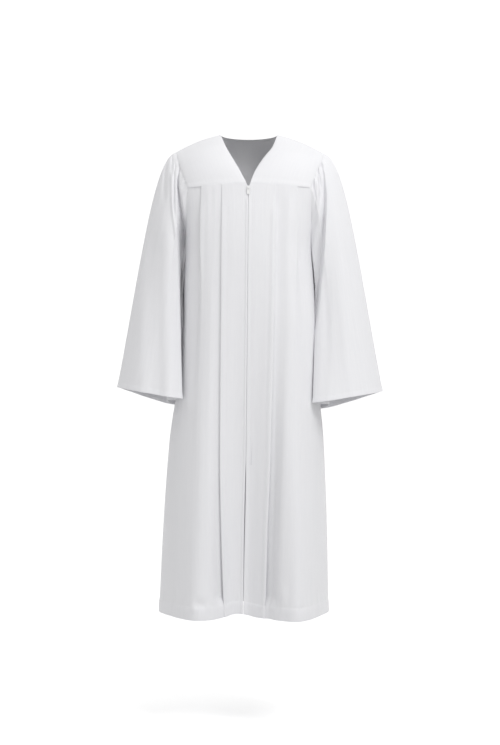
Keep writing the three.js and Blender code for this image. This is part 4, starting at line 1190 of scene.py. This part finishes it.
def back_top_edge(t):
    """Top of the back yoke, right to left: a shoulder seam, half an ellipse round the nape, and the other."""
    t = np.asarray(t, float)
    right = shoulder_seam("right", np.clip(1 - t / NECK_SHARE, 0, 1))
    left = shoulder_seam("left", np.clip(1 - (1 - t) / NECK_SHARE, 0, 1))
    turn = np.clip((t - NECK_SHARE) / (1 - 2 * NECK_SHARE), 0, 1) * np.pi
    arc = point(-NECK_HALF * np.cos(turn), NAPE_DEPTH * np.sin(turn), -NAPE_DROP * np.sin(turn))
    side = np.where((t < 0.5)[..., None], right, left)
    return np.where(((t > NECK_SHARE) & (t < 1 - NECK_SHARE))[..., None], arc, side)


def back_yoke_seam(t):
    """Lower edge of the back yoke, right to left."""
    return back_point(mix(-CORNER_SHARE, CORNER_SHARE, t), np.full(np.shape(t), float(YOKE_SIDE)), 0.0)


def yoke_back():
    """Back yoke: a patch with a bulge for the shoulder blades and a shallow groove along the spine."""
    v, u = yoke_places("back")
    middle = patch(
        back_top_edge,
        back_yoke_seam,
        lambda t: yoke_armhole("right", "back", t),
        lambda t: yoke_armhole("left", "back", t),
        u,
        v,
    )
    rise = np.sin(np.pi * v) ** BACK_BULGE_DOWN
    middle = middle + np.array(BACK_BULGE) * (rise * np.sin(np.pi * u) ** BULGE_ACROSS)[..., None]
    spine = rise * np.exp(-(((u - 0.5) / SPINE_WIDTH) ** 2))
    middle = middle + np.array(SPINE_BULGE) * spine[..., None]
    middle[..., 1] += SEAM / 2 * (1 - v)
    yoke_shell("yoke_back", "back", middle, v)


for side in SIDE_OF:
    yoke_front(side)
yoke_back()

# %% [markdown]
# ## The sleeves
# A bell sleeve is a wide tube. It is gathered where it is sewn into the armhole, falls from the shoulder and
# widens to the cuff. Each line down the sleeve is a Bezier curve from its place on the armhole to its place
# on the cuff. Small folds are added along the surface's normal, and those that hang straight down in front
# move the cloth forwards or back in y alone, so that a deep one keeps its place in x.


# %% Armhole ring and sleeve lines
def armhole(side, t):
    """The armhole's ring: underarm (0), front corner, shoulder (0.5), back corner, underarm (1)."""
    corner, top, behind = RING_BREAKS
    pieces = [
        front_armhole(side, np.clip(1 - t / corner, 0, 1)),
        yoke_armhole(side, "front", np.clip(1 - (t - corner) / (top - corner), 0, 1)),
        yoke_armhole(side, "back", np.clip((t - top) / (behind - top), 0, 1)),
        back_armhole(side, np.clip((t - behind) / (1 - behind), 0, 1)),
    ]
    which = np.searchsorted(RING_BREAKS, t, side="right")
    return np.choose(which[..., None], pieces)


def sleeve_point(side, t, share):
    """Cubic Bezier from armhole to cuff: it leaves outwards, and hangs almost straight above the cuff."""
    side_of = SIDE_OF[side]
    sign = side_of["sign"]
    out, y, z, start_out, start_y, start_z, lean_out, lean_y = row_at(SLEEVE, t)
    start = armhole(side, t)
    start = start + TUCK * unit(TUCK_AIM * np.array((sign, 1, 1)) - start)
    wide = mix(side_of["inner"], side_of["reach"], (out - INNER_OUT) / (OUTER_OUT - INNER_OUT))
    cuff = point(sign * (out + wide), y, z - side_of["drop"])
    leave = start + point(sign * start_out, start_y, start_z)
    hang = (start[..., 2] - cuff[..., 2]) * LEAN_SHARE
    above = cuff + point(sign * lean_out, lean_y, 1.0) * hang[..., None]
    s = share[..., None]
    r = 1 - s
    return start * r**3 + leave * 3 * r * r * s + above * 3 * r * s * s + cuff * s**3


# Folds that hang straight down at the front, and gathers that start at the seam. Each is a line of points:
# height, distance from the middle, half width, how far the cloth stands forward.
PLUMB_FOLDS = {
    "right": [
        [
            [-84, 171, 2, -2],
            [-98, 173, 3, -5],
            [-122, 176, 4, -9],
            [-171, 170.5, 6, -15],
            [-220, 165, 8, -18],
            [-275, 160, 10, -8],
        ],
        [[-80, 184, 2, -2], [-110, 185, 2.5, -3], [-170, 185, 3, -3], [-215, 184, 3, 0]],
        [[-75, 192, 4, 1], [-140, 191, 6, 3], [-190, 188.5, 6, 3], [-250, 181, 6, 3], [-350, 173, 8, 0]],
        [[-60, 192, 4, -3], [-84, 192, 5, -3.5], [-108, 192, 5, 0]],
        [[-62, 204, 5, -2], [-90, 208, 7, -4.5], [-130, 210, 9, -4], [-180, 212, 12, 0]],
        [[-200, 238, 24, 0], [-300, 240, 30, -6], [-520, 238, 34, -6], [-655, 236, 34, -5]],
        [[-200, 200, 20, 0], [-300, 198, 26, 7], [-520, 196, 28, 7], [-655, 194, 26, 6]],
    ],
    "left": [
        [
            [-90, 171, 2.5, -4],
            [-110, 174.5, 4, -7],
            [-145, 177, 6, -6],
            [-171, 174, 7, -4],
            [-208, 166, 8, -3],
            [-245, 158, 8, 0],
        ],
        [[-122, 160, 2, -4], [-145, 162, 3.5, -5], [-171, 164, 5, -2.5], [-200, 163, 6, 0]],
        [[-134, 155, 2, -2.5], [-150, 156, 3, 0]],
        [[-90, 165, 3, 1.5], [-130, 169, 5, 2.5], [-180, 169, 7, 2.0], [-230, 165, 8, 0]],
        [[-330, 196, 12, 0], [-430, 192, 16, -2.5], [-600, 186, 16, -2.5], [-665, 184, 14, -1.5]],
        [[-120, 214, 14, 0], [-300, 226, 22, 2.0], [-480, 238, 26, 2.0], [-650, 246, 26, 1.0]],
    ],
}

# The same behind: ring place at the armhole and at the cuff, half width at both, height, and where along the
# sleeve it starts and ends.
BACK_CREASES = [
    [0.565, 0.560, 0.010, 0.030, -1.5, 0.0, 0.6],
    [0.605, 0.610, 0.010, 0.030, -1.4, 0.0, 0.5],
    [0.645, 0.660, 0.010, 0.030, -1.7, 0.0, 0.65],
    [0.685, 0.700, 0.010, 0.026, -1.4, 0.0, 0.45],
    [0.620, 0.640, 0.020, 0.030, 3.5, 0.3, 1.3],
    [0.800, 0.790, 0.016, 0.026, 3.5, 0.2, 1.2],
]


FRONT_GATHERS = 0.5  # size of the gathers in front, where the plumb folds take over
GATHER_RISE = 0.04  # share of the sleeve's length over which a gather comes up at the seam
CREASE_RISE = 0.05
PLUMB_FADE = 12  # height over which a plumb fold fades at either end
FRONTNESS = 2  # folds are whole where the normal's y is below minus 1 over this


def ring_relief(t, share):
    """Height of the folds that follow the sleeve's own lines: each a bump across and a bump along."""
    height = np.zeros(t.shape)
    for place, half, depth, deepest, length in SLEEVE_FOLDS:
        if place < RING_BREAKS[1]:
            length, depth = FRONT_GATHERS * length, FRONT_GATHERS * depth
        reach = np.where(share < deepest, deepest + GATHER_RISE, length)
        height = height + depth * bump((t - place) / half) * bump((share - deepest) / reach)
    for top, foot, half_top, half_foot, depth, begin, end in BACK_CREASES:
        across = (t - mix(top, foot, share)) / mix(half_top, half_foot, share)
        gone = smooth((share - end / 2) / (end / 2))
        height = height + depth * bump(across) * (smooth((share - begin) / CREASE_RISE) * (1 - gone))
    return height


def faces_forward(normal):
    """1 where the cloth faces forwards, falling to 0 where it faces sideways."""
    return np.clip(-FRONTNESS * normal[..., 1], 0, 1)


def fold_back(side, place, normal):
    """How far the main fold takes a point back in y, where the cloth faces forwards.

    It is a step: outside its edge the cloth rolls forward a little, inside it lies deep and comes forward
    again slowly towards the armhole.
    """
    edge, depth, reach = row_at(FOLD_EDGE[side], place[..., 2])
    past = np.abs(place[..., 0]) - edge
    roll = FOLD_ROLL * np.exp(-np.maximum(past, 0) / ROLL_REACH)
    hollow = np.exp(-((np.minimum(past, 0) / reach) ** 2))
    return faces_forward(normal) * depth * mix(hollow, -roll, smooth(past / FOLD_STEP + 0.5))


def fold_floor(side, place):
    """How far cloth inside the main fold goes back in y so that it lies no further forward than the floor.

    The step between the two is the smooth larger of 0 and d: half of d plus the root of d squared and a bit.
    """
    near, deep = row_at(FOLD_FLOOR[side], place[..., 2])
    edge = row_at(FOLD_EDGE[side], place[..., 2])[0]
    past = edge - np.abs(place[..., 0])
    floor = mix(deep, near, smooth(past / FLOOR_REACH))
    over = floor - place[..., 1]
    return 0.5 * (over + np.sqrt(over**2 + FLOOR_SOFT**2)) * smooth(past / FOLD_STEP + 0.5)


def plumb_relief(side, place, normal):
    """How far forward the folds that hang straight down take a point, where the cloth faces forwards."""
    out, z = np.abs(place[..., 0]), place[..., 2]
    height = np.zeros(z.shape)
    for fold in PLUMB_FOLDS[side]:
        x, half, high = row_at(fold, z)
        top, foot = fold[0][0], fold[-1][0]
        ends = smooth((top + PLUMB_FADE - z) / PLUMB_FADE) * smooth((z - foot + PLUMB_FADE) / PLUMB_FADE)
        height = height + high * bump((out - x) / half) * ends
    return height * faces_forward(normal)


# %% Shells of the sleeves
# shares of the length: rows are closer in the gathers, and at the cuff's stitches and edge
GATHERED_TO = 0.12
GATHERED_ROWS = 30
PLAIN_TO = 0.975
PLAIN_ROWS = 110
CUFF_ROWS = [0.9815, 0.984, 0.9865, 0.989, 0.993, 0.997, 0.9992, 1.0]
UNDER_COLUMNS = 44  # columns from the underarm to each of the armhole's corners, and over the shoulder
OVER_COLUMNS = 130
# the line inside the sleeve that normals turn away from: where it starts, its length, how far out it lies
AXIS_TOP = -120
AXIS_LENGTH = 520
AXIS_OUT = (192, 250)
AXIS_HIGHEST = -140
SEAM_HOLD = 0.03  # share of the length over which the deep folds start, so that the seam keeps its place
CUFF_FINER = 0.6  # a cuff's hem is finer than a skirt's: what it adds outside, and its waves
CUFF_ROUND = 700  # length round the cuff, for those waves


def sleeve(side):
    """Shell of a sleeve: rows from armhole to cuff, columns round the ring from the underarm."""
    gathered = np.linspace(0, GATHERED_TO, GATHERED_ROWS, endpoint=False)
    plain_rows = np.linspace(GATHERED_TO, PLAIN_TO, PLAIN_ROWS)
    share = np.concatenate([gathered, plain_rows, CUFF_ROWS])[:, None]
    corner, _, behind = RING_BREAKS
    low = np.linspace(0, corner, UNDER_COLUMNS, endpoint=False)
    cap = np.linspace(corner, behind, OVER_COLUMNS, endpoint=False)
    high = np.linspace(behind, 1.0, UNDER_COLUMNS, endpoint=False)
    t = np.concatenate([low, cap, high])[None]
    share, t = np.broadcast_arrays(share, t)
    plain = sleeve_point(side, t, share)
    down = np.clip((plain[..., 2] - AXIS_TOP) / -AXIS_LENGTH, 0, 1)
    sign = SIDE_OF[side]["sign"]
    inside = point(sign * mix(*AXIS_OUT, down), 0, np.minimum(plain[..., 2], AXIS_HIGHEST))
    normal = grid_normals(plain, True, inside)
    middle = plain + normal * ring_relief(t, share)[..., None]
    hold = smooth(share / SEAM_HOLD)
    middle[..., 1] += fold_back(side, plain, normal) * hold
    middle[..., 1] += fold_floor(side, middle) * hold
    cover_place = bump((t - COVER["place"]) / COVER["half"])
    middle[..., 0] -= sign * COVER["in"] * cover_place * bump((plain[..., 2] - COVER["z"]) / COVER["up"])
    middle[..., 1] -= plumb_relief(side, plain, normal)
    normal = grid_normals(middle, True, inside)
    length = np.linalg.norm(np.diff(middle, axis=0), axis=2).sum(axis=0)
    above = (1 - share) * length
    added, turned = hem_profile(above, CUFF_HEM_DEPTH)
    node = f"sleeve_{side}"
    pucker = CUFF_FINER * hem_pucker(node, t * CUFF_ROUND, above, CUFF_HEM_DEPTH)
    outer = middle + normal * (CLOTH / 2 + CUFF_FINER * added + pucker)[..., None]
    inner = middle - normal * (CLOTH / 2 + turned - pucker)[..., None]
    round_cuff = [*range(t.shape[1]), 0]
    LINES["cuffs"].append(line_above_hem(outer, inner, above, CUFF_HEM_DEPTH - STITCH_IN, round_cuff))
    piece = shell(f"{node}_cloth", outer, inner, True, cloth)
    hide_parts(node)


for side in SIDE_OF:
    sleeve(side)

# %% [markdown]
# ## Zip and stitches
# The zip's tape lies behind the front edges and its nylon coil shows in the slit between them. The slider and
# its pull tab are the solids themselves, with an enamelled finish. Each stitch is a small lens of thread with
# eight faces, laid along the lines that the shells gave, and each tooth of the coil is the same, laid across.

# %% Lens-shaped pieces along a line
STITCH = {"pitch": 2.8, "long": 2.2, "wide": 0.5, "high": 0.4, "sunk": 0.05}
TOOTH = {"pitch": 1.4, "long": 3.4, "wide": 0.9, "high": 1.3, "sunk": 0.1}
LENS = np.array([[1, 0, 0], [-1, 0, 0], [0, 1, 0], [0, -1, 0], [0, 0, 1], [0, 0, -1]]) / 2
LENS_UPPER = [[0, 2, 4], [2, 1, 4], [1, 3, 4], [3, 0, 4]]
LENS_LOWER = [[2, 0, 5], [1, 2, 5], [3, 1, 5], [0, 3, 5]]
UNEVEN_PITCH = 0.06  # how far a lens may lie off its place, as a share of the pitch
UNEVEN_TILT = 0.02  # spread of its tilt, in radians
REACH = 0.5  # distance either side of a place over which the line's direction is measured


def lenses(name, lines, size, across, material, seed):
    """One lens after another along each line of (path, outward directions), each a little off its place."""
    rng = np.random.default_rng(seed)
    points = []
    for path, outward in lines:
        length = np.concatenate([[0], np.cumsum(np.linalg.norm(np.diff(path, axis=0), axis=1))])
        places = np.arange(size["pitch"], length[-1] - size["pitch"], size["pitch"])
        places = places + rng.uniform(-UNEVEN_PITCH, UNEVEN_PITCH, places.shape) * size["pitch"]

        def at(values, where):
            return np.stack([np.interp(where, length, values[:, k]) for k in range(3)], axis=-1)

        out = unit(at(outward, places))
        along = unit(at(path, places + REACH) - at(path, places - REACH))
        side = unit(np.cross(out, along))
        run, flank = (side, along) if across else (along, side)
        run = unit(run + out * rng.normal(0, UNEVEN_TILT, places.shape)[:, None])
        centre = at(path, places) - out * size["sunk"]
        axes = np.stack([run * size["long"], flank * size["wide"], out * size["high"]], axis=1)
        points.append((centre[:, None] + np.einsum("vk,nkx->nvx", LENS, axes)).reshape(-1, 3))
    points = np.vstack(points)
    count = len(points) // len(LENS)
    faces = np.arange(count)[:, None, None] * len(LENS) + np.array(LENS_UPPER + LENS_LOWER)
    faces = faces.reshape(-1, 3)
    a, b, c = (points[faces[0, k]] for k in range(3))
    if np.dot(np.cross(b - a, c - a), a + b + c - 3 * points[: len(LENS)].mean(axis=0)) < 0:
        faces = faces[:, ::-1]
    add_object(name, points, faces, material)
    print(name, "has", count, "pieces")


# %% The zip behind the closure
TAPE_HALF = 15
TAPE_FRONT = -0.8  # its front face, off the section
TAPE_THICK = 0.6
TAPE_ROWS = 200
TAPE_COLUMNS = 13
TAPE_DOWN = 6  # from the yoke seam to the tape's upper end and to the first stitch
TEETH_DOWN = 22  # and to the first tooth, behind the slider
TEETH_OUT = 0.5  # middle of the teeth off the tape's front
TEETH_STEP = 3.0  # steps at which the line of teeth and the lines of stitches are worked out
STITCH_STEP = 4.0
STITCH_SEED = 31
TEETH_SEED = 21


def closure_line(z, off, height):
    """Path down the closure at a distance off its middle and a height off the section."""
    middle = length_at_x("front", z, row_at(CLOSURE, z)[0])
    return on_body("front", z, middle + off, height)


def zip_tape():
    """Both tapes of the zip as one strip behind the front edges."""
    z = np.linspace(YOKE_CENTRE - SEAM - TAPE_DOWN, ZIP_END, TAPE_ROWS)[:, None]
    across = np.linspace(-TAPE_HALF, TAPE_HALF, TAPE_COLUMNS)[None]
    z, across = np.broadcast_arrays(z, across)
    outer = closure_line(z, across, TAPE_FRONT)
    inner = closure_line(z, across, TAPE_FRONT - TAPE_THICK)
    piece = shell("zip_tape_cloth", outer, inner, False, tape_cloth)
    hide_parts("zip_tape")
    return piece


def zip_coil():
    """The nylon coil's teeth, closed, down the middle of the tape."""
    z = np.arange(ZIP_END + 1, YOKE_CENTRE - TEETH_DOWN, TEETH_STEP)
    path = closure_line(z, 0, TAPE_FRONT + TEETH_OUT)
    outward = unit(closure_line(z, 0, 1.0) - closure_line(z, 0, 0.0))
    lenses("zip_coil", [(path, outward)], TOOTH, True, nylon, TEETH_SEED)


def placket_lines():
    """Stitches that hold the tape, beside each front edge."""
    found = []
    z = np.arange(ZIP_END, YOKE_CENTRE - TAPE_DOWN, STITCH_STEP)
    for side, side_of in SIDE_OF.items():
        sign = side_of["sign"]
        x, gap = row_at(CLOSURE, z)
        edge = sign * length_at_x("front", z, x) + gap
        u = edge + PLACKET_HALF
        d = front_relief(side, u, z, edge) + CLOTH / 2
        path = on_body("front", z, sign * u, d)
        found.append((path, unit(on_body("front", z, sign * u, d + 1) - path)))
    return found


tape = zip_tape()
zip_coil()
LINES["zip"] = placket_lines()
for n, (name, lines) in enumerate(LINES.items()):
    lenses(f"{name}_stitches", lines, STITCH, False, thread, STITCH_SEED + n)
for name in ("zip_slider", "zip_pull_tab"):
    metal = bpy.data.objects[name]
    metal.data.materials.clear()
    metal.data.materials.append(enamel)

# %% [markdown]

# %% [markdown]
# ## Light and ground
# White cloth on a white ground shows its form only by soft shade. A large soft key from the upper right does
# the modelling, and the pale world fills the rest. The ground throws no light back on the robe, which keeps
# the shade of the folds low in the skirt, and glows faintly so that it stays paler than the cloth.

# %% Ground, world and key light
FLOOR_Z = -1457
GROUND_HALF = 9000
GROUND_BACK = 6500  # far enough back to stand behind a camera on that side
WALL_TOP = 7000
CURVE = 1500
CURVE_ROWS = 17
GROUND_GLOW = 0.35
WORLD_STRENGTH = 0.71
KEY_AIM = -0.3  # height of the chest in metres
WHITE = (1, 1, 1, 1)


def ground():
    """A floor that curves up into a wall, so that there is no horizon."""
    angle = np.linspace(0, np.pi / 2, CURVE_ROWS)
    y = np.concatenate([[-GROUND_HALF], GROUND_BACK - CURVE + CURVE * np.sin(angle), [GROUND_BACK]])
    z = np.concatenate([[0], CURVE * (1 - np.cos(angle)), [WALL_TOP]]) + FLOOR_Z
    x = np.array([-GROUND_HALF, GROUND_HALF])
    points = point(x[None], y[:, None], z[:, None]).reshape(-1, 3)
    mesh = bpy.data.meshes.new("ground")
    mesh.from_pydata((points * MM).tolist(), [], grid_faces(len(y), 1, 2)[:, ::-1].tolist())
    mesh.shade_smooth()
    material, tree = new_material("white_paper")
    shader = add(tree, "ShaderNodeBsdfPrincipled", Base_Color=linear("#FDFDFD"), Roughness=0.9)
    shader.inputs["Specular IOR Level"].default_value = 0.1
    shader.inputs["Emission Color"].default_value = WHITE
    shader.inputs["Emission Strength"].default_value = GROUND_GLOW
    finish_material(tree, shader)
    mesh.materials.append(material)
    obj = bpy.data.objects.new("ground", mesh)
    bpy.context.scene.collection.objects.link(obj)
    obj.visible_diffuse = False


def softbox(name, size, distance, azimuth, elevation, strength):
    """A square studio light aimed at the chest, from an azimuth to the camera's right, in degrees.

    Its power is pi times distance squared times the strength, so that the strength is what falls on the robe.
    """
    light = bpy.data.lights.new(name, "AREA")
    light.size = size
    light.energy = strength * np.pi * distance**2
    a, e = np.radians(azimuth), np.radians(elevation)
    away = Vector((np.sin(a) * np.cos(e), -np.cos(a) * np.cos(e), np.sin(e)))
    obj = bpy.data.objects.new(name, light)
    obj.location = Vector((0, 0, KEY_AIM)) + away * distance
    obj.rotation_euler = away.to_track_quat("Z", "Y").to_euler()
    bpy.context.scene.collection.objects.link(obj)


ground()
softbox("key", size=1.6, distance=3.4, azimuth=33, elevation=43, strength=1.38)
world = bpy.data.worlds.new("world")
bpy.context.scene.world = world
world.use_nodes = True
background = world.node_tree.nodes["Background"].inputs
background["Color"].default_value = WHITE
background["Strength"].default_value = WORLD_STRENGTH
bpy.context.scene.view_settings.view_transform = "Standard"
